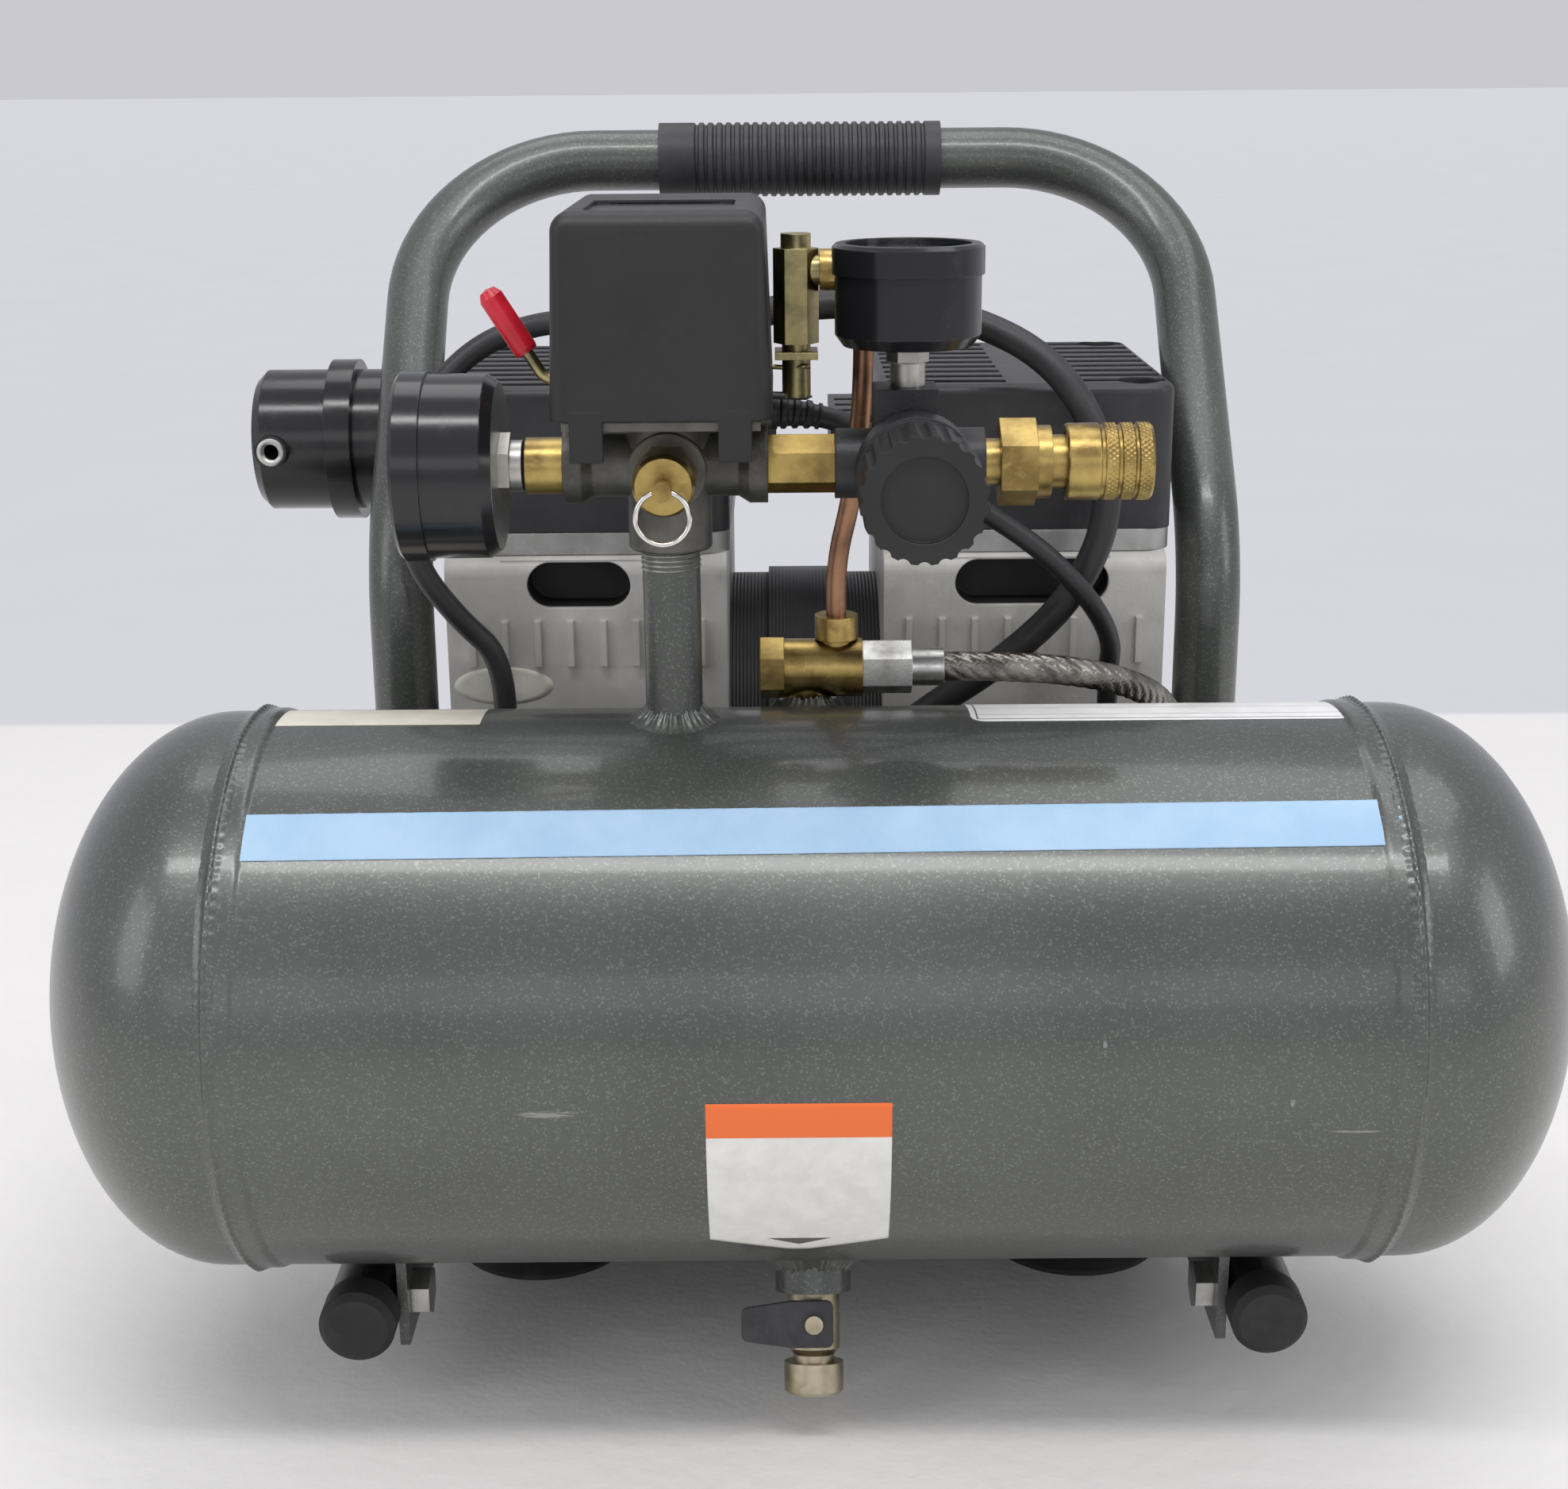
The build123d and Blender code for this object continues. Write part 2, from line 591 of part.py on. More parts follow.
# Switch cover: a shell with rounded top edges and two clip tabs below its front edge.
cover_y = tank_y + (cover_back - cover_front) / 2
cover_d = cover_front + cover_back
lever_y = tank_y - 8.0
lever_z = cover_bottom + 6.0
gland_z = cover_bottom + 8.0
gland_x = switch_x + 6.0
lead_gland_x = switch_x - 16.0
with BuildPart() as switch_cover:
    with BuildSketch(Plane.XY.offset(cover_bottom)):
        with Locations((switch_x, cover_y)):
            RectangleRounded(cover_w, cover_d, 5)
    extrude(amount=cover_top - cover_bottom, taper=2)
    fillet(switch_cover.faces().sort_by(Axis.Z)[-1].edges(), 5)
    with BuildSketch(Plane.XY.offset(cover_bottom)):
        with Locations((switch_x, cover_y)):
            RectangleRounded(cover_w - 5, cover_d - 5, 3)
    extrude(amount=cover_top - cover_bottom - 4, taper=2, mode=Mode.SUBTRACT)
    with BuildSketch(Plane.XY.offset(cover_top)):
        with Locations((switch_x, tank_y - 12)):
            RectangleRounded(38, 44, 3)
    extrude(amount=-1.2, mode=Mode.SUBTRACT)
    with BuildSketch(Plane.XZ.offset(-(tank_y - cover_front))):
        with Locations((switch_x, cover_bottom - 4)):
            with GridLocations(38, 1, 2, 1):
                Rectangle(8.5, 13)
    extrude(amount=-2.4)
    with BuildSketch(Plane.XZ.offset(-(tank_y + cover_back + 2))):
        with Locations((gland_x, gland_z), (lead_gland_x, gland_z)):
            Circle(5.6)
    extrude(amount=8, mode=Mode.SUBTRACT)
    with BuildSketch(Plane.YZ.offset(switch_x - cover_w / 2 - 2)):
        with Locations((lever_y, lever_z)):
            Rectangle(9, 12)
    extrude(amount=8, mode=Mode.SUBTRACT)
finish("switch_cover", switch_cover)

# Start lever: a bent wire that turns about a pin along Y, with a vinyl cap on its end.
lever_pivot = (switch_x - cover_w / 2 + 6.0, lever_y, lever_z)
lever_lean = radians(32)
lever_out = 10.0
lever_len = 22.0
wire_r = 1.6
elbow = (lever_pivot[0] - lever_out, lever_y, lever_z + 1.0)
tip = (elbow[0] - lever_len * sin(lever_lean), lever_y, elbow[2] + lever_len * cos(lever_lean))
with BuildLine() as lever_line:
    FilletPolyline(lever_pivot, elbow, tip, radius=[4.0])
with BuildPart() as switch_lever:
    with BuildSketch(Plane(origin=lever_line.line @ 0, z_dir=lever_line.line % 0)):
        Circle(wire_r)
    sweep(path=lever_line.line)
    add(tube(axis_plane(*lever_pivot, (0, 1, 0)), -4, 4, 2.4))
finish("switch_lever", switch_lever)
cap_plane = axis_plane(elbow[0] - (lever_len - 14) * sin(lever_lean), lever_y,
                       elbow[2] + (lever_len - 14) * cos(lever_lean), (-sin(lever_lean), 0, cos(lever_lean)))
cap_outline = [(0, wire_r), (0, 3.0), (1, 3.3), (17, 3.3), (19, 2.2), (19.5, 0), (14, 0), (14, wire_r)]
finish("lever_cap", joined(turned(cap_plane, cap_outline)))

# Unloader valve: a hexagon body screwed upright beside the cover, with an elbow to the copper tube.
unloader_x = switch_x + cover_w / 2 + 6.6
unloader_y = tank_y + 24.0
unloader = axis_plane(unloader_x, unloader_y, 0, (0, 0, 1))
unloader_low = cover_bottom - 3.0
unloader_port_z = cover_bottom + 32.0
with BuildPart() as unloader_valve:
    add(tube(unloader, unloader_low, cover_bottom + 12, 4.0))
    add(hexagon(unloader, cover_bottom + 12, cover_bottom + 38, 11))
    add(tube(unloader, cover_bottom + 38, cover_bottom + 42, 4.2))
    add(tube(axis_plane(unloader_x, unloader_y, unloader_port_z, (1, 0, 0)), 0, 8, 4.2))
    add(block((unloader_x - 6, unloader_y - 7, cover_bottom + 8),
              (unloader_x + 6, unloader_y + 7, cover_bottom + 10)))
finish("unloader_valve", unloader_valve)

# ---- check valve, copper tube and hose ----
along_check = axis_plane(0, check_y, check_z, (1, 0, 0))
check_up = axis_plane(check_x, check_y, 0, (0, 0, 1))
tube_stub_x = check_x + 8.4
copper_end = check_z + 12.0
with BuildPart() as check_valve_body:
    add(tube(along_check, check_x - 7, check_x + 16, 8.6))
    add(hexagon(along_check, check_x - 14, check_x - 7, 16))
    add(tube(check_up, check_boss_top, check_z, 6.8))
    add(tube(axis_plane(tube_stub_x, check_y, 0, (0, 0, 1)), check_z, copper_end, 4.6))
    add(tube(along_check, check_x - 11, check_x + 16, 5.6), mode=Mode.SUBTRACT)
    add(tube(axis_plane(tube_stub_x, check_y, 0, (0, 0, 1)), check_z, copper_end, 1.5), mode=Mode.SUBTRACT)
    add(tube(check_up, check_boss_top - 1, check_z, 3.0), mode=Mode.SUBTRACT)
finish("check_valve_body", check_valve_body)
finish("check_disc", joined(tube(along_check, check_x + 6, check_x + 10, 5.2)))

copper_r = 2.9
copper_points = [
    (unloader_x + 8, unloader_y, unloader_port_z), (unloader_x + 17, unloader_y, unloader_port_z),
    (unloader_x + 19, unloader_y + 0.5, unloader_port_z - 18), (15.5, unloader_y + 2, cover_bottom - 8),
    (13, unloader_y + 5, cover_bottom - 32), (tube_stub_x, check_y, copper_end + 20),
    (tube_stub_x, check_y, copper_end),
]
finish("copper_tube", swept("copper_tube", copper_points, copper_r, 1.9))

hose_end = check_x + 40.0
hose_start = check_x + 17.0
with BuildPart() as line_nuts:
    lower_nut = [(copper_end - 3, 4.6), (copper_end - 3, 6.3), (copper_end + 4, 6.3),
                 (copper_end + 4, copper_r), (copper_end, copper_r), (copper_end, 4.6)]
    upper_nut = [(6.5, 4.2), (6.5, 5.8), (13, 5.8), (13, copper_r), (8, copper_r), (8, 4.2)]
    add(turned(axis_plane(tube_stub_x, check_y, 0, (0, 0, 1)), lower_nut))
    add(turned(axis_plane(unloader_x, unloader_y, unloader_port_z, (1, 0, 0)), upper_nut))
    add(hexagon(along_check, hose_start - 1, check_x + 30.5, 14))
    add(tube(along_check, check_x + 30.5, hose_end, 5.6))
    add(tube(axis_plane(elbow_x, elbow_y, 0, (0, 0, 1)), elbow_z - 6, elbow_z, 5.4))
finish("line_nuts", line_nuts)

hose_points = [
    (hose_end, check_y, check_z), (56, check_y, check_z), (78, check_y + 6, check_z - 3),
    (99, check_y + 21, check_z - 11), (114, elbow_y - 13, check_z - 24), (elbow_x, elbow_y, elbow_z + 16),
    (elbow_x, elbow_y, elbow_z),
]
finish("braided_hose", swept("braided_hose", hose_points, hose_r))

# ---- outlet side ----
with BuildPart() as brass_unions:
    add(hexagon(along_air, manifold_right, regulator_x - 21.2, 14))
    add(tube(along_air, manifold_left - 10.4, manifold_left, 7.7))
finish("brass_unions", brass_unions)

# Regulator: body with ports left and right, gauge port on top, bonnet forward and plug at the back.
reg_front = axis_plane(regulator_x, tank_y, air_z, (0, -1, 0))
port_block_top = tank_z + 173.0
knob_stem_r = 5.0
with BuildPart() as regulator_body:
    add(turned(reg_front, [(-17, 0), (-17, 9), (-12, 13.5), (10, 13.5), (12, 16), (24, 16), (24, 15), (33, 15),
                           (33, knob_stem_r), (44, knob_stem_r), (44, 0)]))
    add(tube(along_air, regulator_x - 21.2, coupler_x, 9.5))
    add(block((regulator_x - 10.8, tank_y - 9, air_z), (regulator_x + 6.4, tank_y + 9, port_block_top)))
finish("regulator_body", regulator_body)

knob_r = 16.5
knob_back = 34.0
knob_front = 57.0
with BuildPart() as regulator_knob:
    with BuildSketch(reg_front.offset(knob_back)):
        Circle(knob_r)
        with PolarLocations(knob_r + 1.1, 20):
            Circle(2.0, mode=Mode.SUBTRACT)
    extrude(amount=knob_front - knob_back)
    with BuildSketch(reg_front.offset(knob_front)):
        Circle(11)
    extrude(amount=-1.6, mode=Mode.SUBTRACT)
    with BuildSketch(reg_front.offset(knob_back)):
        Circle(knob_stem_r + turning_gap)
    extrude(amount=11, mode=Mode.SUBTRACT)
finish("regulator_knob", regulator_knob)


# ---- pressure gauges ----
def gauge_case(base, r, depth):
    """A gauge case with its bezel: a cup whose mouth holds the window."""
    return turned(base, [(0, 0), (0, r - 3), (3, r - 0.8), (depth - 8, r - 0.8), (depth - 8, r), (depth - 1, r),
                         (depth, r - 1), (depth, r - 3.5), (depth - 1.2, r - 3.5), (depth - 1.2, r - 2.2),
                         (3, r - 2.2), (3, 0)])


def needle(base, r, depth, zero):
    """A needle on its pin; zero is the direction of the zero mark in degrees."""
    with BuildPart() as piece:
        with BuildSketch(base.offset(depth - 7.5)):
            with Locations(Rotation(0, 0, zero)):
                with BuildLine():
                    Polyline((-r * 0.25, -1.3), (r * 0.7, -0.35), (r * 0.7, 0.35), (-r * 0.25, 1.3), close=True)
                make_face()
        extrude(amount=0.8)
        with BuildSketch(base.offset(depth - 9.5)):
            Circle(0.9)
        extrude(amount=2)
        with BuildSketch(base.offset(depth - 7.5)):
            Circle(2.2)
        extrude(amount=2)
    return piece


left_r = 25.85
left_depth = 27.0
left_gauge = axis_plane(-84.0, tank_y, air_z, (-1, 0, 0), x_dir=(0, 0, 1))
top_r = 20.5
top_depth = 27.0
top_gauge_x = regulator_x - 1.5
top_gauge = axis_plane(top_gauge_x, tank_y, tank_z + 184.0, (0, 0, 1), x_dir=(1, 0, 0))
with BuildPart() as gauge_cases:
    add(gauge_case(left_gauge, left_r, left_depth))
    add(hexagon(left_gauge, -3.0, 0, 16))
    add(tube(left_gauge, -6.2, -3.0, 7.0))
    add(gauge_case(top_gauge, top_r, top_depth))
    add(hexagon(top_gauge, -4.5, 0, 10))
    add(tube(top_gauge, port_block_top - tank_z - 184.0, -4.5, 4.8))
finish("gauge_cases", gauge_cases)
with BuildPart() as gauge_dials:
    add(tube(left_gauge, left_depth - 9.5, left_depth - 8.7, left_r - 2.2, 1.2))
    add(tube(top_gauge, top_depth - 9.5, top_depth - 8.7, top_r - 2.2, 1.2))
finish("gauge_dials", gauge_dials)
with BuildPart() as gauge_windows:
    add(tube(left_gauge, left_depth - 3.2, left_depth - 1.2, left_r - 2.2))
    add(tube(top_gauge, top_depth - 3.2, top_depth - 1.2, top_r - 2.2))
finish("gauge_windows", gauge_windows)
finish("needle_left", needle(left_gauge, left_r - 3, left_depth, 135))
finish("needle_top", needle(top_gauge, top_r - 3, top_depth, 225))

# ---- quick coupler ----
along_coupler = axis_plane(coupler_x, tank_y, air_z, (1, 0, 0))
socket_r = 4.0
with BuildPart() as coupler_body:
    add(tube(along_coupler, 0, 4, 6.5))
    add(hexagon(along_coupler, 4, 14, 21))
    add(turned(along_coupler, [(14, 0), (14, 10), (18, 10), (18, 7.4), (40.5, 7.4), (42, 6.6), (42, 0)]))
    add(tube(along_coupler, 20, 42, socket_r), mode=Mode.SUBTRACT)
    add(tube(along_coupler, 38, 42, 5.9), mode=Mode.SUBTRACT)
finish("coupler_body", coupler_body)
sleeve_travel = 3.5
with BuildPart() as coupler_sleeve:
    add(turned(along_coupler, [(22, 7.9), (22, 10), (23, 10.5), (26, 10.5), (26.5, 9.9), (28, 9.9), (28.5, 10.5),
                               (31.5, 10.5), (32, 9.9), (33.5, 9.9), (34, 10.5), (37, 10.5), (37.5, 10),
                               (39, 10), (40, 10.8), (45, 10.8), (45.6, 10.2), (45.6, 9), (43, 7.9)]))
finish("coupler_sleeve", coupler_sleeve)

# ---- safety valve ----
safety = axis_plane(switch_x, tank_y, air_z, (0, -1, 0), x_dir=(1, 0, 0))
with BuildPart() as safety_valve_body:
    add(hexagon(safety, 13, 19, 14))
    add(turned(safety, [(19, 0), (19, 7.2), (21, 8.3), (33, 8.3), (35, 7.4), (35, 0)]))
    add(tube(safety, 25, 35, 2.0), mode=Mode.SUBTRACT)
finish("safety_valve_body", safety_valve_body)
ring_at = 41.0
eye_r = 1.6
with BuildPart() as safety_stem:
    add(tube(safety, 26, 39, 1.7))
    add(tube(safety, 39, 43, 2.6))
    add(tube(axis_plane(switch_x, tank_y - ring_at, air_z, (1, 0, 0)), -3, 3, eye_r), mode=Mode.SUBTRACT)
finish("safety_stem", safety_stem)
ring_r = 7.0
with BuildPart() as safety_ring:
    with BuildSketch(Plane(origin=(switch_x, tank_y - ring_at, air_z), x_dir=(0, 1, 0), z_dir=(1, 0, 0))):
        Circle(0.7)
    revolve(axis=Axis((switch_x, tank_y - ring_at, air_z - ring_r), (0, 1, 0)))
finish("safety_ring", safety_ring)

# ---- drain ----
valve_start = tank_r + 9.0
pivot_at = 97.0
lever_plane = axis_plane(0, tank_y + pivot_at * drain_dir[1], tank_z + pivot_at * drain_dir[2],
                         (0, -cos(radians(drain_tilt)), sin(radians(drain_tilt))), x_dir=(1, 0, 0))
with BuildPart() as drain_valve_body:
    add(turned(drain, [(valve_start, 0), (valve_start, 7.5), (105, 7.5), (107, 5.8), (109, 5.8), (109, 8.5),
                       (117, 8.5), (118, 7.5), (118, 0)]))
    add(tube(lever_plane, 0, 10.0, 2.4))
    add(tube(lever_plane, 12.6, 14.0, 2.6))
    add(tube(drain, 104, 119, 3.5), mode=Mode.SUBTRACT)
finish("drain_valve_body", drain_valve_body)
with BuildPart() as drain_lever:
    with BuildSketch(lever_plane.offset(10.3)):
        with BuildLine():
            Polyline((5.5, -6.5), (5.5, 6.5), (-6, 6.5), (-20.6, 4.5), (-20.6, -4.5), (-6, -6.5), close=True)
        make_face()
    extrude(amount=2.0)
    fillet(drain_lever.edges().filter_by(Axis((0, 0, 0), lever_plane.z_dir)), 2.0)
finish("drain_lever", drain_lever)

# ---- cables ----
cord_r = 4.5
lead_r = 3.6
thin_r = 3.2
gland_back = tank_y + cover_back
gland_len = 4.0
terminal_y = tank_y + 82.0
terminal_z = 182.0
terminal_x = 96.0
with BuildPart() as cord_glands:
    for x in (gland_x, lead_gland_x):
        add(tube(axis_plane(x, gland_back - 4, gland_z, (0, 1, 0)), 0, 4 + gland_len, 5.5))
    for side in (-1, 1):
        box_x = side * terminal_x
        box_top = terminal_z - 5
        add(joined(block((box_x - 8, terminal_y - 6, box_top - 19), (box_x + 8, motor_y - housing_r, box_top)),
                   tube(axis_plane(box_x, terminal_y, 0, (0, 0, 1)), box_top, terminal_z, 5.0)).part)
finish("cord_glands", cord_glands)

# Mains cord: over the back of the valves, down behind the tank, under the pump and out to its coil.
cord_out = gland_back + gland_len
coil_r = 50.0
coil_x = 30.0
coil_y = plate_back + 84.0
coil_in = coil_r + 4.6
power_points = [
    (gland_x, cord_out, gland_z), (gland_x, cord_out + 20, gland_z), (-24, cord_out + 40, gland_z + 3),
    (-4, cord_out + 52, gland_z + 6), (24, cord_out + 52, gland_z + 7), (52, cord_out + 42, gland_z + 3),
    (75, cord_out + 30, gland_z - 8), (90, cord_out + 23, 272), (94, cord_out + 20, 246),
    (83, cord_out + 20, 220), (60, cord_out + 22, 198), (34, cord_out + 27, 180), (13, cord_out + 34, 157),
    (3, cord_out + 36.5, 130), (0, cord_out + 38, 102), (-2, cord_out + 46, 77), (-5, cord_out + 65, 57),
    (-8, cord_out + 92, 47.5), (-14, cord_out + 122, 47.5), (-17, cord_out + 152, 47.5),
    (-19, cord_out + 183, 51), (-22, plate_back + 22, 45), (coil_x - coil_in, plate_back + 42, 25),
    (coil_x - coil_in - 0.5, plate_back + 61, 8), (coil_x - coil_in, coil_y - 4, 4.8),
]
mains = swept("power_cord", power_points, cord_r)

# The rest of the mains cord: two turns side by side and the rest on top of them, then a tail to the plug.
coil_height = 18.4
turn_pitch = 9.2
with BuildPart() as cord_coil:
    with BuildSketch(Plane.XY.offset(0.2)):
        with Locations((coil_x, coil_y)):
            Circle(coil_r + turn_pitch)
            Circle(coil_r - turn_pitch, mode=Mode.SUBTRACT)
    extrude(amount=coil_height)
    fillet(cord_coil.edges(), 4.0)
finish("cord_coil", cord_coil)

tail_y = coil_y + coil_in
plug_x = coil_x + 56.0
tail_z = 13.8
tail_points = [
    (coil_x + 4, tail_y, tail_z), (coil_x + 22, tail_y - 1, tail_z), (coil_x + 40, tail_y - 4, tail_z - 0.5),
    (plug_x, tail_y - 4, tail_z - 0.5),
]
tail = swept("cord_tail", tail_points, cord_r)
with BuildPart() as power_cord:
    add(mains.part)
    add(tail.part)
finish("power_cord", power_cord)
plug = axis_plane(plug_x, tail_y - 4, tail_z - 0.5, (1, 0, 0), x_dir=(0, 1, 0))
with BuildPart() as power_plug:
    add(turned(plug, [(0, 0), (0, 5.5), (20, 7.5), (20, 0)]))
    with BuildSketch(plug.offset(20)):
        RectangleRounded(30, 24, 6)
    extrude(amount=26)
    fillet(power_plug.faces().sort_by(Axis.X)[-1].edges(), 1.5)
    with BuildSketch(plug.offset(46)):
        with GridLocations(12.7, 1, 2, 1):
            Rectangle(1.5, 6.3)
    extrude(amount=17)
    with BuildSketch(plug.offset(46)):
        with Locations((0, 7.5)):
            Circle(2.4)
    extrude(amount=20)
finish("power_plug", power_plug)

motor_points = [
    (lead_gland_x, cord_out, gland_z), (lead_gland_x, cord_out + 18, gland_z), (-62, cord_out + 35, gland_z + 3),
    (-80, cord_out + 44, gland_z + 3), (-102, cord_out + 42, gland_z - 4), (-119, cord_out + 34, 279),
    (-126, cord_out + 28, 256), (-122, cord_out + 25, 232), (-109, cord_out + 27, 213),
    (-terminal_x, terminal_y, 200), (-terminal_x, terminal_y, terminal_z),
]
finish("motor_lead", swept("motor_lead", motor_points, lead_r))

right_points = [
    (switch_x + 28, tank_y + 35, floor_z - 6), (5, tank_y + 35, floor_z - 6), (27, tank_y + 44, 272),
    (49, tank_y + 53, 254), (71, tank_y + 57, 239), (87, tank_y + 63, 222), (terminal_x, tank_y + 75, 206),
    (terminal_x, terminal_y, 194), (terminal_x, terminal_y, terminal_z),
]
finish("pump_lead", swept("pump_lead", right_points, thin_r))

# ---- output ----
os.makedirs("parts", exist_ok=True)
for name, piece in parts.items():
    export_step(piece.part, f"parts/{name}.step")
print(len(parts), "nodes")
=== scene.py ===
import json
from math import cos, pi, radians, sin

import bpy
import numpy as np
from mathutils import Euler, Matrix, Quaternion, Vector

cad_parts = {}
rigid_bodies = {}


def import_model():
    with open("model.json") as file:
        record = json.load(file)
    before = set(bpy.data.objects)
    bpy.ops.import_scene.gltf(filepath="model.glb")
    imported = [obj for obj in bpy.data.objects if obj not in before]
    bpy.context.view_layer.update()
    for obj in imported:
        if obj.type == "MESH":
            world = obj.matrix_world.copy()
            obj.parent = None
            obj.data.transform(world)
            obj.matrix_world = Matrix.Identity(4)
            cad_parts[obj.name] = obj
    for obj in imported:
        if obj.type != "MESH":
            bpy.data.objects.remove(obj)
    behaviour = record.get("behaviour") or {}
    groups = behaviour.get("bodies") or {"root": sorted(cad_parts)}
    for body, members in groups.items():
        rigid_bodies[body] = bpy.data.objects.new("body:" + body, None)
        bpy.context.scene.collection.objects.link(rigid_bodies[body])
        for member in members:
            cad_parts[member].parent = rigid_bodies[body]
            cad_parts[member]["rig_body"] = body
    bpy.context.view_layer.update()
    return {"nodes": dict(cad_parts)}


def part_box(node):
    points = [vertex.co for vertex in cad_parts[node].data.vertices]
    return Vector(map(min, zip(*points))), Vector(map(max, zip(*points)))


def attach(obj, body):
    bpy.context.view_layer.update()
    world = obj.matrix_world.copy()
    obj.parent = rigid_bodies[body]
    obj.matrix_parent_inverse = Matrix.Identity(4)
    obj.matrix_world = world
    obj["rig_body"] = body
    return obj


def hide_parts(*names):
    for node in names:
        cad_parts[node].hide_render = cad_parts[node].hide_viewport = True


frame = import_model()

mm = 0.001
scene = bpy.context.scene
nodes = frame["nodes"]

# camera: standing in front, looking down at the controls
view = {"at": (-0.0072, -0.701, 0.380), "down": 16.6, "roll": -0.45, "lens": 52.47, "sensor": 36.0}
lens = bpy.data.cameras.new("benchCamera")
lens.lens = view["lens"]
lens.sensor_width = view["sensor"]
lens.clip_start = 0.02
cameraObject = bpy.data.objects.new("benchCamera", lens)
scene.collection.objects.link(cameraObject)
cameraObject.location = view["at"]
cameraObject.rotation_mode = "QUATERNION"
tiltDown = Euler((radians(90 - view["down"]), 0, 0)).to_quaternion()
cameraObject.rotation_quaternion = tiltDown @ Quaternion((0, 0, 1), radians(view["roll"]))
scene.camera = cameraObject
scene.view_settings.view_transform = "Standard"
print("camera placed")


# meshes from arrays
def objectFrom(name, points, faces, smooth=True):
    # a mesh object at the origin from an array of points and a list or array of faces
    mesh = bpy.data.meshes.new(name)
    mesh.from_pydata(np.asarray(points, float).reshape(-1, 3).tolist(), [], [list(map(int, f)) for f in faces])
    mesh.update()
    mesh.polygons.foreach_set("use_smooth", [smooth] * len(mesh.polygons))
    made = bpy.data.objects.new(name, mesh)
    scene.collection.objects.link(made)
    return made


def gridFaces(rows, columns, wrapRows=False, wrapColumns=False, first=0):
    # quads between neighbouring grid points; a wrapped direction joins its last line to its first
    r = np.arange(rows if wrapRows else rows - 1)
    c = np.arange(columns if wrapColumns else columns - 1)
    r, c = np.meshgrid(r, c, indexing="ij")
    r2, c2 = (r + 1) % rows, (c + 1) % columns
    quads = np.stack([r * columns + c, r2 * columns + c, r2 * columns + c2, r * columns + c2], axis=-1)
    return quads.reshape(-1, 4) + first


def surface(name, grid, wrapRows=False, wrapColumns=False, capped=False, smooth=True):
    # grid[row, column] is a point; capped closes the two end rows of a tube of wrapped columns
    rows, columns = grid.shape[:2]
    points = grid.reshape(-1, 3)
    faces = gridFaces(rows, columns, wrapRows, wrapColumns).tolist()
    if capped:
        ends = np.stack([grid[0].mean(0), grid[-1].mean(0)])
        points = np.concatenate([points, ends])
        total = rows * columns
        around = np.arange(columns)
        after = (around + 1) % columns
        last = (rows - 1) * columns
        faces += np.stack([np.full(columns, total), around, after], 1).tolist()
        faces += np.stack([np.full(columns, total + 1), last + after, last + around], 1).tolist()
    made = objectFrom(name, points, faces, smooth)
    outward(made)
    return made


def outward(made):
    # turn the faces so that they point out of the closed shape
    mesh = made.data
    mesh.calc_loop_triangles()
    corners = np.zeros(len(mesh.loop_triangles) * 3, int)
    mesh.loop_triangles.foreach_get("vertices", corners)
    co = np.zeros(len(mesh.vertices) * 3)
    mesh.vertices.foreach_get("co", co)
    a, b, c = (co.reshape(-1, 3)[corners.reshape(-1, 3)[:, k]] for k in range(3))
    if np.einsum("ij,ij->i", a - co.reshape(-1, 3).mean(0), np.cross(b - a, c - a)).sum() < 0:
        mesh.flip_normals()


def basis(axis, side=None):
    # three unit vectors: two across the axis and the axis itself
    w = np.asarray(axis, float) / np.linalg.norm(axis)
    if side is None:
        side = (0, 0, 1) if abs(w[2]) < 0.9 else (1, 0, 0)
    u = np.asarray(side, float)
    u = u - w * (u @ w)
    u /= np.linalg.norm(u)
    return u, np.cross(w, u), w


def turned(origin, axis, outline, around=64, side=None):
    # point(t, a) = origin + t axis + r (cos a u + sin a v), along an outline of (t, r) that closes on itself;
    # r may be a row per angle
    u, v, w = basis(axis, side)
    t = np.array([p[0] for p in outline], float)[:, None]
    r = np.array([p[1] for p in outline], float)[:, None]
    a = np.linspace(0, 2 * pi, around, endpoint=False)[None, :]
    across = np.cos(a)[..., None] * u + np.sin(a)[..., None] * v
    return np.asarray(origin, float) + t[..., None] * w + r[..., None] * across


def alongPath(path, radii, around=24):
    # a tube: each cross-section is a circle of its own radius, carried along the path without twisting;
    # radii is a value per point, or per point and angle
    path = np.asarray(path, float)
    tangent = np.gradient(path, axis=0)
    tangent /= np.linalg.norm(tangent, axis=1)[:, None]
    u = basis(tangent[0])[0]
    across = []
    for t in tangent:
        u = u - t * (u @ t)
        u /= np.linalg.norm(u)
        across.append((u, np.cross(t, u)))
    across = np.array(across)
    a = np.linspace(0, 2 * pi, around, endpoint=False)
    radii = np.asarray(radii, float)
    radii = radii[:, None] if radii.ndim == 1 else radii
    ring = np.cos(a)[None, :, None] * across[:, None, 0] + np.sin(a)[None, :, None] * across[:, None, 1]
    return path[:, None, :] + radii[..., None] * ring


def curveLine(spline, steps):
    # points evenly spread along a cord's own line, read from the curve with no bevel
    bare = spline.data.copy()
    bare.bevel_depth = 0
    probe = bpy.data.objects.new("probe", bare)
    scene.collection.objects.link(probe)
    mesh = bpy.data.meshes.new_from_object(probe)
    co = np.zeros(len(mesh.vertices) * 3)
    mesh.vertices.foreach_get("co", co)
    bpy.data.objects.remove(probe)
    co = co.reshape(-1, 3)
    run = np.concatenate([[0], np.cumsum(np.linalg.norm(np.diff(co, axis=0), axis=1))])
    even = np.linspace(0, run[-1], steps)
    return np.stack([np.interp(even, run, co[:, k]) for k in range(3)], 1), run[-1]


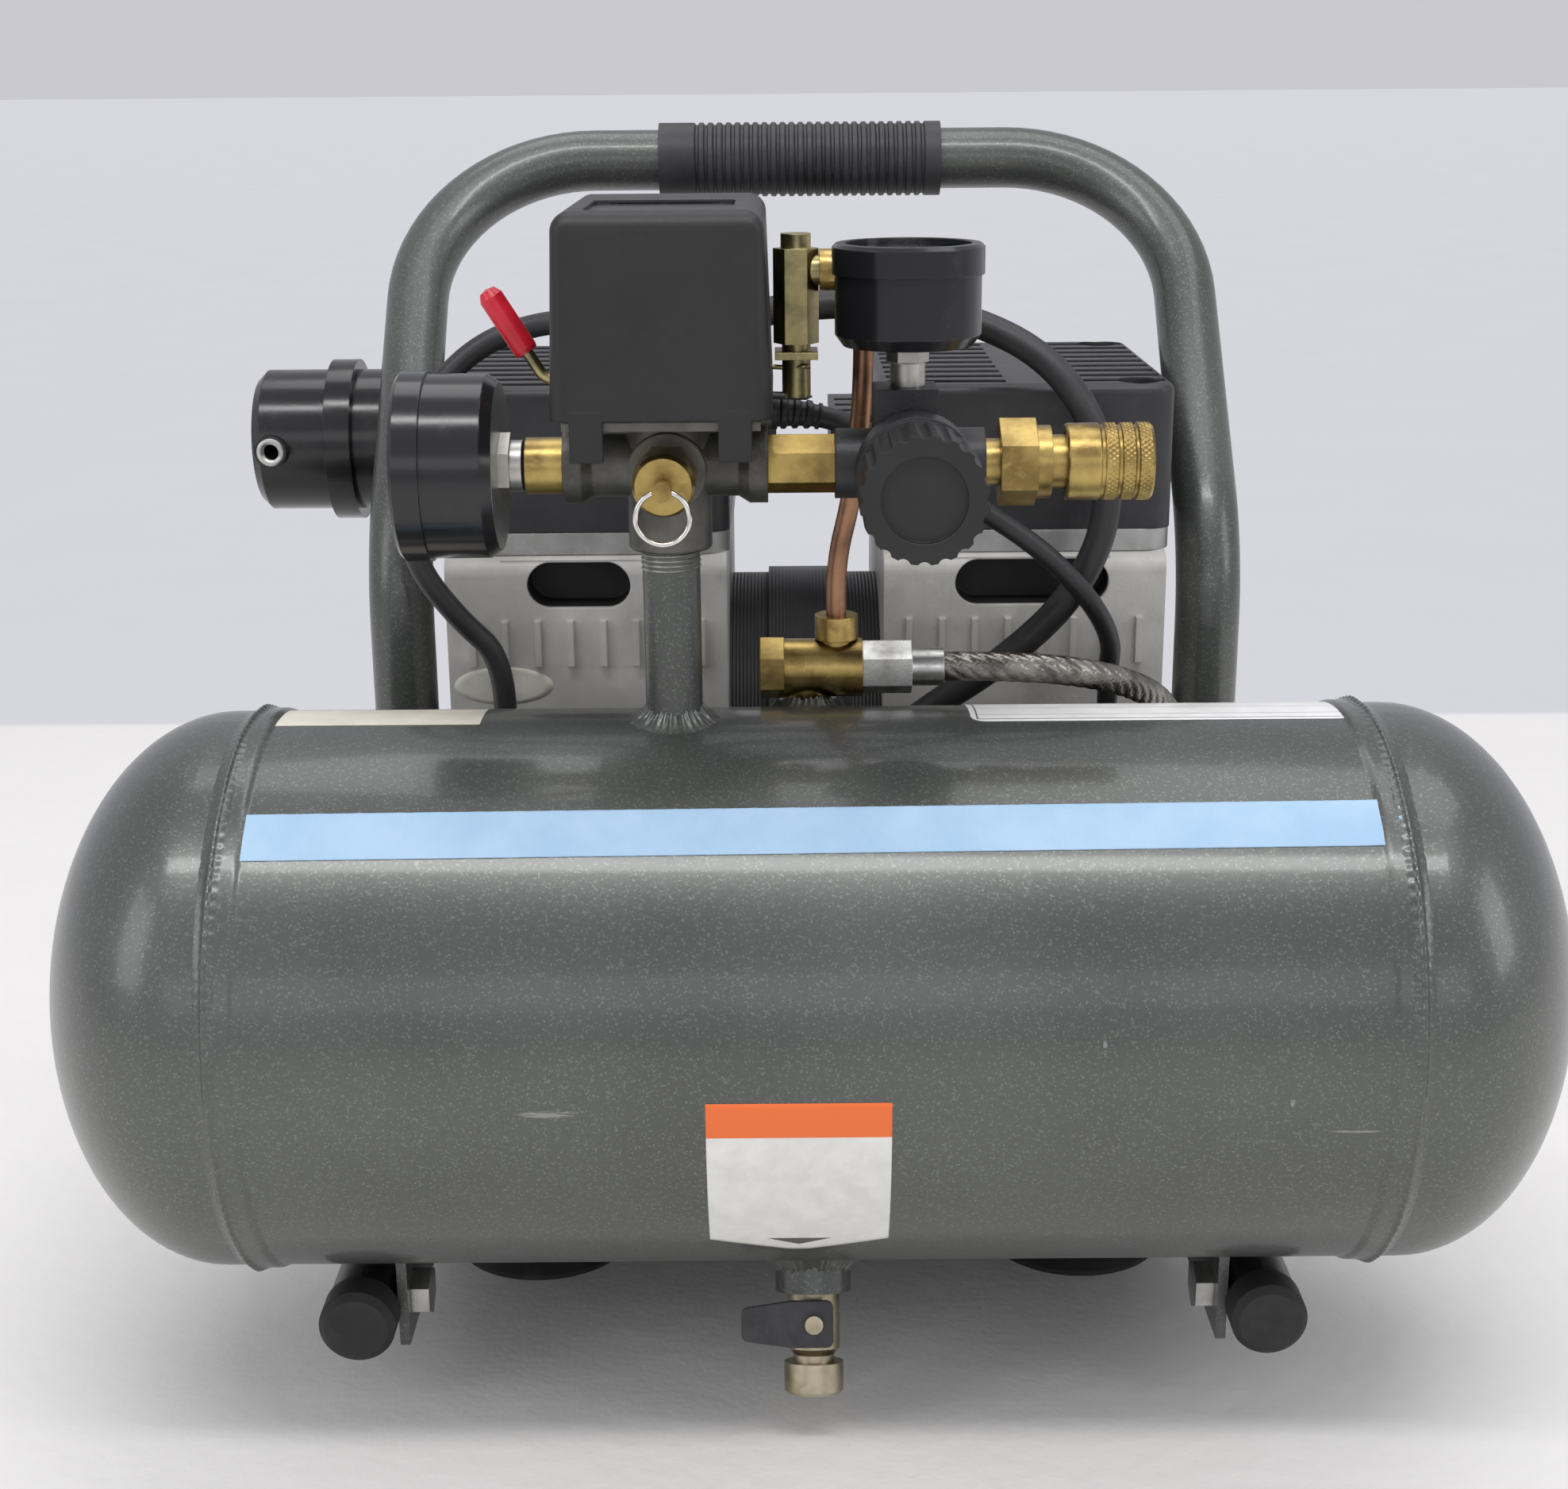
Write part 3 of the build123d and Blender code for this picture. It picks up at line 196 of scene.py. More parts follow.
def nurbsCord(name, points, diameter):
    # a cord as one spline with the route's points, in millimetres, as its control points
    curve = bpy.data.curves.new(name, "CURVE")
    curve.dimensions = "3D"
    curve.bevel_depth = 1.0  # times each point's radius, which is half the diameter
    curve.bevel_resolution = 5
    curve.use_fill_caps = True
    curve.resolution_u = 10
    spline = curve.splines.new("NURBS")
    spline.points.add(len(points) - 1)
    spline.points.foreach_set("co", np.c_[np.array(points) * mm, np.ones(len(points))].ravel())
    spline.points.foreach_set("radius", np.full(len(points), diameter / 2))
    spline.order_u = 3
    spline.use_endpoint_u = True
    made = bpy.data.objects.new(name, curve)
    scene.collection.objects.link(made)
    return made


# cords
cords = {
    "mains": {"diameter": 0.009, "turns": 3.25, "perTurn": 20, "centre": (30.0, 240.0), "pitch": 9.2, "radius": 50.0,
              "low": 4.8, "high": 14.0},
    "motorLead": {"diameter": 0.0072},
    "pumpLead": {"diameter": 0.0064},
    "hose": {"diameter": 0.0088, "strands": 14, "relief": 0.00030},
}

mainsRoute = [
    (-32, -28, 301), (-32, -8, 301), (-24, 12, 304), (-4, 24, 307), (24, 24, 308), (52, 14, 304), (75, 2, 293),
    (90, -5, 272), (94, -8, 246), (83, -8, 220), (60, -6, 198), (34, -1, 180), (13, 6, 157), (3, 8.5, 130),
    (0, 10, 102), (-2, 18, 77), (-5, 37, 57), (-8, 64, 47.5), (-14, 94, 47.5), (-17, 124, 47.5), (-19, 155, 51),
    (-22, 178, 45), (-26, 197, 22), (-27, 214, 7), (-25, 232, 4.8),
]
tailRoute = [(34, 294.6, 13.8), (52, 293.6, 13.8), (70, 290.6, 13.3), (86, 290.6, 13.3)]


def step(t, start, end):
    # 0 before start, 1 after end, smooth between
    s = np.clip((t - start) / (end - start), 0, 1)
    return s * s * (3 - 2 * s)


def coilPoints(c):
    # turns beside and on each other: out, in, up on the inner one, out again on top
    t = np.linspace(0, c["turns"], int(c["turns"] * c["perTurn"]) + 1)
    inward = step(t, 0.75, 1.0) - step(t, 2.25, 2.5)
    radius = c["radius"] + c["pitch"] * (0.5 - inward)
    height = c["low"] + (c["high"] - c["low"]) * step(t, 1.5, 1.75)
    angle = pi - 2 * pi * t
    x = c["centre"][0] + radius * np.cos(angle)
    y = c["centre"][1] + radius * np.sin(angle)
    return np.stack([x, y, height], 1).tolist()


powerCord = nurbsCord("powerCord", mainsRoute + coilPoints(cords["mains"]) + tailRoute, cords["mains"]["diameter"])
motorLead = nurbsCord("motorLead", [
    (-54, -28, 301), (-54, -10, 301), (-62, 7, 304), (-80, 16, 304), (-102, 14, 297), (-119, 6, 279), (-126, 0, 256),
    (-122, -3, 232), (-109, -1, 213), (-96, 2, 200), (-96, 2, 182),
], cords["motorLead"]["diameter"])
pumpLead = nurbsCord("pumpLead", [
    (-10, -45, 284), (5, -45, 284), (27, -36, 272), (49, -27, 254), (71, -23, 239), (87, -17, 222), (96, -5, 206),
    (96, 2, 194), (96, 2, 182),
], cords["pumpLead"]["diameter"])
hoseLine = nurbsCord("hoseLine", [
    (40, -48, 209), (56, -48, 209), (78, -42, 206), (99, -27, 198), (114, -6, 185), (119.6, 7, 166),
    (119.6, 7, 150),
], cords["hose"]["diameter"])


def braidedTube(c):
    # crossing bundles: where n a + k s and n a - k s fall in like cells the first family is on top,
    # and each bundle is a ridge |sin| high
    path, length = curveLine(hoseLine, 420)
    around = 96
    s = np.linspace(0, length, len(path))[:, None]
    a = np.linspace(0, 2 * pi, around, endpoint=False)[None, :]
    radius = c["diameter"] / 2 - c["relief"]
    lead = c["strands"] / radius * 0.8
    first, second = c["strands"] * a + lead * s, c["strands"] * a - lead * s
    cell = np.sign(np.sin(first / 2) * np.sin(second / 2))
    ridge = np.where(cell > 0, np.abs(np.cos(first / 4 + pi / 4)), np.abs(np.cos(second / 4 + pi / 4)))
    radii = radius + c["relief"] * ridge
    made = surface("braidedHose", alongPath(path, radii, around), wrapColumns=True, capped=True)
    return made, path, length


braidedHose, hosePath, hoseLength = braidedTube(cords["hose"])
bpy.data.objects.remove(hoseLine)
mainsLine, mainsLength = curveLine(powerCord, 3000)
motorLine, motorLength = curveLine(motorLead, 400)
pumpLine, pumpLength = curveLine(pumpLead, 400)


def relief(name, line, length, span, root, tip, ridges):
    # a tapering sleeve on the first part of a cord, with a row of rounded ridges and open slots between them
    steps = 90
    t = np.linspace(0, 1, steps)
    count = np.linspace(0, span / length * (len(line) - 1), steps)
    path = np.stack([np.interp(count, np.arange(len(line)), line[:, k]) for k in range(3)], 1)
    wave = np.clip(np.cos(2 * pi * ridges * t) * 2.2, -1, 1)
    radii = root + (tip - root) * t - 0.00035 * (1 - wave) * (t > 0.12)
    return surface(name, alongPath(path, radii, 32), wrapColumns=True, capped=True)


mainsRelief = relief("mainsRelief", mainsLine, mainsLength, 0.026, 0.0066, 0.0053, 6)
motorRelief = relief("motorLeadRelief", motorLine, motorLength, 0.020, 0.0056, 0.0043, 5)
pumpRelief = relief("pumpLeadRelief", pumpLine, pumpLength, 0.014, 0.0050, 0.0038, 4)
plugRelief = relief("plugRelief", mainsLine[::-1], mainsLength, 0.030, 0.0062, 0.0052, 7)
for piece in (powerCord, motorLead, pumpLead, braidedHose, mainsRelief, motorRelief, pumpRelief, plugRelief):
    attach(piece, "machine")
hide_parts("power_cord", "cord_coil")
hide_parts("motor_lead")
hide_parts("pump_lead")
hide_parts("braided_hose")
print("cords", round(mainsLength, 3), round(motorLength, 3), round(pumpLength, 3), round(hoseLength, 3))


# materials
class Flow:
    # a value on its way through one material's nodes; sums and products on it add Math nodes
    def __init__(self, tree, socket=None):
        self.tree = tree
        self.socket = socket

    def node(self, kind, settings=None, values=None, out=0):
        made = self.tree.nodes.new("ShaderNode" + kind)
        for key, value in (settings or {}).items():
            if key == "stops":
                ramp = made.color_ramp
                while len(ramp.elements) < len(value):
                    ramp.elements.new(0.5)
                for stop, (at, colour) in zip(ramp.elements, value):
                    stop.position = at
                    stop.color = (*colour, 1)
            else:
                setattr(made, key, value)
        for key, value in (values or {}).items():
            if isinstance(value, Flow):
                self.tree.links.new(value.socket, made.inputs[key])
            else:
                made.inputs[key].default_value = value
        return Flow(self.tree, made.outputs[out] if len(made.outputs) else None)

    def maths(self, operation, *terms):
        return self.node("Math", {"operation": operation}, dict(enumerate(terms)))

    def __add__(self, other):
        return self.maths("ADD", self, other)

    def __sub__(self, other):
        return self.maths("SUBTRACT", self, other)

    def __rsub__(self, other):
        return self.maths("SUBTRACT", other, self)

    def __mul__(self, other):
        return self.maths("MULTIPLY", self, other)

    def __truediv__(self, other):
        return self.maths("DIVIDE", self, other)

    def __rtruediv__(self, other):
        return self.maths("DIVIDE", other, self)

    def __pow__(self, other):
        return self.maths("POWER", self, other)

    __radd__ = __add__
    __rmul__ = __mul__

    def above(self, low, high):
        # 0 below low, 1 above high, smooth between
        return self.node("MapRange", {"interpolation_type": "SMOOTHSTEP"},
                         {"Value": self, "From Min": low, "From Max": high})

    def mixed(self, amount, a, b):
        a, b = (c if isinstance(c, Flow) else (*c, 1) for c in (a, b))
        return self.node("Mix", {"data_type": "RGBA"}, {0: amount, 6: a, 7: b}, out=2)

    def place(self):
        return self.node("TexCoord", out="Object")

    def noise(self, scale, detail=3.0, at=None, rough=0.55, warp=0.0):
        return self.node("TexNoise", None, {"Vector": at or self.place(), "Scale": scale, "Detail": detail,
                                            "Roughness": rough, "Distortion": warp})

    def axis(self, letter):
        return self.node("SeparateXYZ", None, {0: self.place()}, out=letter)

    def stretched(self, scale, centre=(0, 0, 0), turn=(0, 0, 0)):
        # object coordinates moved to a centre, turned, then scaled along each axis
        moved = self.node("VectorMath", {"operation": "SUBTRACT"}, {0: self.place(), 1: centre})
        return self.node("Mapping", None, {"Vector": moved, "Rotation": turn, "Scale": scale})

    def spot(self, centre, size, turn=(0, 0, 0)):
        # 1 in the middle of a small oval patch, 0 outside it
        near = self.stretched(tuple(1 / s for s in size), centre, turn)
        far = self.node("VectorMath", {"operation": "LENGTH"}, {0: near}, out="Value")
        return 1 - far.above(0.55, 1.0)


def begin(name):
    material = bpy.data.materials.new(name)
    material.use_nodes = True
    material.node_tree.nodes.clear()
    return material, Flow(material.node_tree)


def close(flow, values, height=None, depth=0.0001, strength=1.0, corner=0.0):
    # the shader; height gives the bump in units of depth, corner rounds sharp edges by that radius
    values = dict(values)
    if height is not None:
        bump = {"Strength": strength, "Distance": depth, "Height": height}
        if corner:
            bump["Normal"] = flow.node("Bevel", {"samples": 4}, {"Radius": corner})
        values["Normal"] = flow.node("Bump", None, bump)
    if not isinstance(values["Base Color"], Flow):
        values["Base Color"] = (*values["Base Color"], 1)
    shader = flow.node("BsdfPrincipled", None, values)
    flow.node("OutputMaterial", None, {"Surface": shader})


finishes = {
    # light and dark colour, patch and grain scale per metre, grain depth, roughness from and to
    "hammertone": {"light": (0.105, 0.112, 0.104), "dark": (0.078, 0.083, 0.077), "patch": 14, "grain": 700,
                   "depth": 0.00003, "rough": (0.32, 0.42), "metal": 0.55, "flecks": 0.28, "coat": 0.30,
                   "corner": 0.0},
    "castAlu": {"light": (0.62, 0.61, 0.575), "dark": (0.44, 0.43, 0.40), "patch": 30, "grain": 900, "depth": 0.00007,
                "rough": (0.42, 0.62), "metal": 0.1, "dirt": (0.10, 0.095, 0.085), "corner": 0.0008},
    "rawAlu": {"light": (0.50, 0.50, 0.49), "dark": (0.34, 0.34, 0.33), "patch": 60, "grain": 1500, "depth": 0.00004,
               "rough": (0.38, 0.55), "metal": 0.85, "corner": 0.0005},
    "blackCast": {"light": (0.030, 0.031, 0.034), "dark": (0.014, 0.014, 0.016), "patch": 25, "grain": 1100,
                  "depth": 0.00007, "rough": (0.36, 0.50), "metal": 0.0, "dirt": (0.11, 0.105, 0.095),
                  "corner": 0.0008},
    "coverPlastic": {"light": (0.011, 0.011, 0.012), "dark": (0.006, 0.006, 0.006), "patch": 22, "grain": 2200,
                     "depth": 0.00005, "rough": (0.40, 0.52), "metal": 0.0, "dirt": (0.045, 0.044, 0.041),
                     "corner": 0.0008},
    "glossPlastic": {"light": (0.016, 0.016, 0.018), "dark": (0.008, 0.008, 0.009), "patch": 18, "grain": 700,
                     "depth": 0.000012, "rough": (0.14, 0.26), "metal": 0.0, "dirt": (0.09, 0.088, 0.08),
                     "corner": 0.0005},
    "rubber": {"light": (0.030, 0.030, 0.031), "dark": (0.014, 0.014, 0.015), "patch": 40, "grain": 1400,
               "depth": 0.00008, "rough": (0.62, 0.82), "metal": 0.0, "dirt": (0.14, 0.135, 0.125), "corner": 0.0006},
    "gripRubber": {"light": (0.034, 0.034, 0.037), "dark": (0.018, 0.018, 0.020), "patch": 45, "grain": 1600,
                   "depth": 0.00006, "rough": (0.42, 0.58), "metal": 0.0, "dirt": (0.12, 0.12, 0.12), "corner": 0.0},
    "zincSteel": {"light": (0.60, 0.60, 0.58), "dark": (0.36, 0.355, 0.33), "patch": 90, "grain": 1800,
                  "depth": 0.00003, "rough": (0.24, 0.42), "metal": 1.0, "corner": 0.0005},
    "darkSteel": {"light": (0.20, 0.20, 0.20), "dark": (0.10, 0.10, 0.10), "patch": 60, "grain": 1500,
                  "depth": 0.00003, "rough": (0.35, 0.50), "metal": 1.0, "corner": 0.0},
    "gunmetal": {"light": (0.150, 0.147, 0.130), "dark": (0.075, 0.073, 0.064), "patch": 70, "grain": 1300,
                 "depth": 0.00008, "rough": (0.34, 0.52), "metal": 0.75, "corner": 0.0007},
    "brass": {"light": (0.52, 0.38, 0.13), "dark": (0.22, 0.15, 0.055), "patch": 80, "grain": 1700, "depth": 0.00003,
              "rough": (0.22, 0.44), "metal": 1.0, "corner": 0.0004},
    "nickelBrass": {"light": (0.50, 0.44, 0.32), "dark": (0.28, 0.24, 0.16), "patch": 90, "grain": 1700,
                    "depth": 0.00003, "rough": (0.24, 0.42), "metal": 1.0, "corner": 0.0004},
    "yellowZinc": {"light": (0.46, 0.39, 0.19), "dark": (0.20, 0.18, 0.10), "patch": 110, "grain": 1500,
                   "depth": 0.00003, "rough": (0.22, 0.40), "metal": 1.0, "corner": 0.0004},
    "copper": {"light": (0.46, 0.25, 0.15), "dark": (0.20, 0.115, 0.075), "patch": 60, "grain": 1300,
               "depth": 0.00003, "rough": (0.28, 0.48), "metal": 1.0, "corner": 0.0},
    "chrome": {"light": (0.82, 0.80, 0.76), "dark": (0.60, 0.58, 0.54), "patch": 200, "grain": 2500,
               "depth": 0.00001, "rough": (0.10, 0.24), "metal": 1.0, "corner": 0.0},
    "redVinyl": {"light": (0.62, 0.012, 0.030), "dark": (0.40, 0.006, 0.018), "patch": 90, "grain": 900,
                 "depth": 0.00004, "rough": (0.24, 0.38), "metal": 0.0, "dirt": (0.12, 0.02, 0.02), "corner": 0.0},
    "cordBlack": {"light": (0.026, 0.026, 0.028), "dark": (0.012, 0.012, 0.013), "patch": 35, "grain": 1200,
                  "depth": 0.00004, "rough": (0.38, 0.54), "metal": 0.0, "dirt": (0.10, 0.098, 0.09), "corner": 0.0},
    "leverPlastic": {"light": (0.045, 0.045, 0.047), "dark": (0.022, 0.022, 0.024), "patch": 120, "grain": 1900,
                     "depth": 0.00005, "rough": (0.45, 0.60), "metal": 0.0, "dirt": (0.12, 0.115, 0.10),
                     "corner": 0.0006},
    "dialWhite": {"light": (0.80, 0.80, 0.78), "dark": (0.72, 0.72, 0.69), "patch": 60, "grain": 2500,
                  "depth": 0.000006, "rough": (0.38, 0.5), "metal": 0.0, "corner": 0.0},
    "dialBlack": {"light": (0.02, 0.02, 0.02), "dark": (0.012, 0.012, 0.012), "patch": 60, "grain": 2500,
                  "depth": 0.000006, "rough": (0.42, 0.55), "metal": 0.0, "corner": 0.0},
    "needleRed": {"light": (0.55, 0.02, 0.015), "dark": (0.42, 0.015, 0.01), "patch": 90, "grain": 2000,
                  "depth": 0.000008, "rough": (0.30, 0.42), "metal": 0.0, "corner": 0.0},
    "braidSteel": {"light": (0.34, 0.32, 0.29), "dark": (0.12, 0.11, 0.10), "patch": 160, "grain": 2600,
                   "depth": 0.00003, "rough": (0.24, 0.40), "metal": 1.0, "corner": 0.0},
}
hoopEnds = {"behind": -0.080, "under": 0.045, "colour": (0.020, 0.020, 0.021)}
materials = {}


def finishNamed(name):
    # one finish: broad patches between two colours, fine grain, rubbed places, settled dirt and metallic flecks
    if name in materials:
        return materials[name]
    f = finishes[name]
    material, flow = begin(name)
    patch = flow.noise(f["patch"], 4.0)
    grain = flow.noise(f["grain"], 2.0)
    worn = flow.noise(f["patch"] * 3.1, 6.0, warp=0.8).above(0.56, 0.74)
    colour = flow.mixed(patch.above(0.3, 0.7), f["dark"], f["light"])
    low, high = f["rough"]
    rough = low + (high - low) * patch + 0.10 * worn
    height = grain
    if "dirt" in f:
        settled = flow.noise(f["patch"] * 1.7, 7.0, rough=0.7).above(0.52, 0.78)
        colour = flow.mixed(settled * 0.28, colour, f["dirt"])
        rough = rough + 0.12 * settled
    if f.get("flecks"):
        cell = flow.node("TexVoronoi", None, {"Vector": flow.place(), "Scale": 2100.0}, out="Color")
        chance = flow.node("SeparateXYZ", None, {0: cell}, out="X")
        bright = chance.above(0.80, 1.0)
        deep = 1 - chance.above(0.0, 0.22)
        colour = flow.mixed(bright * f["flecks"], colour, (0.32, 0.34, 0.31))
        colour = flow.mixed(deep * 0.25, colour, (0.06, 0.065, 0.060))
        height = grain + 0.3 * chance
        if name == "hoopPaint":
            y, z = flow.axis("Y"), flow.axis("Z")
            boot = y.maths("LESS_THAN", y, hoopEnds["behind"]) * z.maths("LESS_THAN", z, hoopEnds["under"])
            colour = flow.mixed(boot, colour, hoopEnds["colour"])
            rough = rough + 0.2 * boot
    elif f["metal"] > 0.5:
        colour = flow.mixed(worn * 0.35, colour, tuple(min(1.0, 1.35 * c) for c in f["light"]))
    values = {"Base Color": colour, "Roughness": rough, "Metallic": f["metal"]}
    if f.get("coat"):
        values["Coat Weight"] = f["coat"]
        values["Coat Roughness"] = 0.12
    close(flow, values, height, f["depth"], corner=f["corner"])
    materials[name] = material
    return material


def tankPaint():
    # the tank's hammertone, with its own scuffs, scratches and rubbed seams
    f = finishes["hammertone"]
    material, flow = begin("tankPaint")
    patch = flow.noise(9.0, 4.0)
    grain = flow.noise(f["grain"], 2.0)
    cell = flow.node("TexVoronoi", None, {"Vector": flow.place(), "Scale": 2100.0}, out="Color")
    chance = flow.node("SeparateXYZ", None, {0: cell}, out="X")
    colour = flow.mixed(patch.above(0.3, 0.7), f["dark"], f["light"])
    colour = flow.mixed(chance.above(0.80, 1.0) * f["flecks"], colour, (0.32, 0.34, 0.31))
    colour = flow.mixed((1 - chance.above(0.0, 0.22)) * 0.25, colour, (0.06, 0.065, 0.060))
    streaks = flow.noise(1.0, 5.0, at=flow.stretched((60, 900, 900)), rough=0.7)
    scuffs = (flow.spot((-0.069, -0.158, 0.119), (0.010, 0.02, 0.0013)) * streaks.above(0.40, 0.58)
              + flow.spot((0.075, -0.158, 0.137), (0.0006, 0.02, 0.0040), (0, radians(38), 0))
              * streaks.above(0.4, 0.55)
              + flow.spot((0.124, -0.158, 0.121), (0.0007, 0.02, 0.0022)) * streaks.above(0.40, 0.60)
              + flow.spot((0.141, -0.150, 0.112), (0.009, 0.03, 0.0005), (0, radians(-8), 0))
              * streaks.above(0.42, 0.56))
    fine = flow.noise(1.0, 3.0, at=flow.stretched((22, 420, 420), turn=(0.2, 0.5, 0.3)), rough=0.6).above(0.66, 0.72)
    colour = flow.mixed(scuffs.above(0.0, 1.0) * 0.42, colour, (0.50, 0.51, 0.49))
    colour = flow.mixed(fine * 0.06, colour, (0.40, 0.41, 0.40))
    rough = 0.29 + 0.10 * patch + 0.15 * scuffs + 0.06 * fine
    values = {"Base Color": colour, "Roughness": rough, "Metallic": f["metal"], "Coat Weight": 0.35,
              "Coat Roughness": 0.10}
    close(flow, values, grain + 0.3 * chance, f["depth"])
    return material


def laminationSteel():
    # thin plates edge on: a fine ripple along the shaft, with copper windings showing beyond both ends
    material, flow = begin("laminations")
    x = flow.axis("X")
    plates = (x * (2 * pi / 0.0012)).maths("SINE", x * (2 * pi / 0.0012))
    past = x.maths("ABSOLUTE", x).above(0.0250, 0.0256)
    varnish = flow.noise(55.0, 4.0)
    wires = flow.node("TexWave", {"wave_type": "RINGS", "rings_direction": "X"},
                      {"Vector": flow.stretched((1, 1, 1), (0, 0.074, 0.152)), "Scale": 160.0, "Distortion": 1.5})
    colour = flow.mixed(varnish, (0.014, 0.014, 0.015), (0.040, 0.040, 0.042))
    copperish = flow.mixed(varnish, (0.26, 0.09, 0.03), (0.42, 0.17, 0.06))
    colour = flow.mixed(past, colour, copperish)
    height = plates * 0.5 * (1 - past) + wires * past
    values = {"Base Color": colour, "Roughness": 0.34 + 0.2 * varnish, "Metallic": 0.35}
    close(flow, values, height, 0.00022)
    return material


def gaugeCaseFinish():
    # gloss black case; the socket and its hexagon are plated steel
    f = finishes["glossPlastic"]
    material, flow = begin("gaugeCase")
    patch = flow.noise(f["patch"], 4.0)
    dust = flow.noise(46.0, 7.0, rough=0.7).above(0.55, 0.8)
    x, z = flow.axis("X"), flow.axis("Z")
    leftNut = x.maths("GREATER_THAN", x, -0.0841) * x.maths("LESS_THAN", x, -0.070)
    topNut = x.maths("GREATER_THAN", x, 0.0) * z.maths("LESS_THAN", z, 0.3068)
    plated = (leftNut + topNut).above(0.0, 1.0)
    grime = flow.noise(240.0, 3.0)
    colour = flow.mixed(patch, f["dark"], f["light"])
    colour = flow.mixed(dust * 0.2, colour, f["dirt"])
    colour = flow.mixed(plated, colour, flow.mixed(grime, (0.34, 0.33, 0.30), (0.60, 0.59, 0.56)))
    rough = 0.13 + 0.1 * patch + 0.15 * dust + 0.18 * plated
    values = {"Base Color": colour, "Roughness": rough, "Metallic": plated}
    close(flow, values, flow.noise(900.0, 2.0), 0.00001, corner=0.0005)
    return material


def plugFinish():
    # black moulding with bare pins
    f = finishes["cordBlack"]
    material, flow = begin("plugMoulding")
    x = flow.axis("X")
    pins = x.maths("GREATER_THAN", x, 0.1322)
    patch = flow.noise(60.0, 4.0)
    colour = flow.mixed(patch, f["dark"], f["light"])
    colour = flow.mixed(pins, colour, (0.62, 0.52, 0.30))
    values = {"Base Color": colour, "Roughness": 0.34 + 0.2 * patch - 0.1 * pins, "Metallic": pins}
    close(flow, values, flow.noise(1800.0, 2.0), 0.00005, corner=0.0005)
    return material


def housingFinish():
    # grey-white casting with settled dirt in patches; the vent pockets are painted near-black inside as painted
    # shade, and the same mask also paints the rear faces black at vent height
    f = finishes["castAlu"]
    material, flow = begin("housingCasting")
    patch = flow.noise(f["patch"], 4.0)
    x, y, z = flow.axis("X"), flow.axis("Y"), flow.axis("Z")
    settled = flow.noise(52.0, 7.0, rough=0.7).above(0.50, 0.80)
    aside = x.maths("ABSOLUTE", x.maths("ABSOLUTE", x) - vents["x"])
    raised = z.maths("ABSOLUTE", z - vents["z"])
    across = x.maths("LESS_THAN", aside, vents["half"])
    high = z.maths("LESS_THAN", raised, vents["tall"])
    # inside marks the vent pockets, painted near-black below as painted shade in the recesses; it also takes in the
    # rear faces at vent height
    inside = across * high * y.above(vents["from"], vents["from"] + 0.0015)
    colour = flow.mixed(patch.above(0.3, 0.7), f["dark"], f["light"])
    colour = flow.mixed(settled * 0.34, colour, f["dirt"])
    # painted shade: near-black over the vent pockets
    colour = flow.mixed(inside, colour, (0.012, 0.012, 0.012))
    rough = 0.42 + 0.2 * patch + 0.12 * settled
    close(flow, {"Base Color": colour, "Roughness": rough, "Metallic": 0.08 * (1 - inside)},
          flow.noise(900.0, 2.0), 0.00008, corner=0.0008)
    return material


def nutFinish():
    # plated steel, but the nut on the copper line and the left elbow nut are brass
    f = finishes["zincSteel"]
    material, flow = begin("lineNuts")
    grime = flow.noise(150.0, 4.0).above(0.35, 0.75)
    y, z = flow.axis("Y"), flow.axis("Z")
    brassy = z.maths("GREATER_THAN", z, 0.2175) * y.maths("LESS_THAN", y, 0.03)
    plain = flow.mixed(grime, f["light"], f["dark"])
    warm = flow.mixed(grime, (0.52, 0.37, 0.13), (0.25, 0.17, 0.06))
    values = {"Base Color": flow.mixed(brassy, plain, warm), "Roughness": 0.26 + 0.2 * grime, "Metallic": 1.0}
    close(flow, values, flow.noise(1500.0, 2.0), 0.00003, corner=0.0005)
    return material


def clearWindow():
    material, flow = begin("clearWindow")
    smear = flow.noise(70.0, 4.0)
    values = {"Base Color": (0.95, 0.96, 0.96), "Roughness": 0.02 + 0.06 * smear, "Transmission Weight": 1.0,
              "IOR": 1.45}
    close(flow, values, smear, 0.00001)
    return material


def paperFinish(name, colour, shade, gloss, extra=None):
    # a stuck-on sheet: slight mottling and faint creases; extra paints on it
    material, flow = begin(name)
    mottle = flow.noise(160.0, 5.0)
    crease = flow.noise(1.0, 4.0, at=flow.stretched((140, 26, 26)), rough=0.6)
    base = flow.mixed(mottle.above(0.3, 0.75), shade, colour)
    if extra:
        base = extra(flow, base)
    values = {"Base Color": base, "Roughness": gloss + 0.15 * mottle}
    close(flow, values, crease + 0.4 * mottle, 0.00010, strength=0.6)
    return material


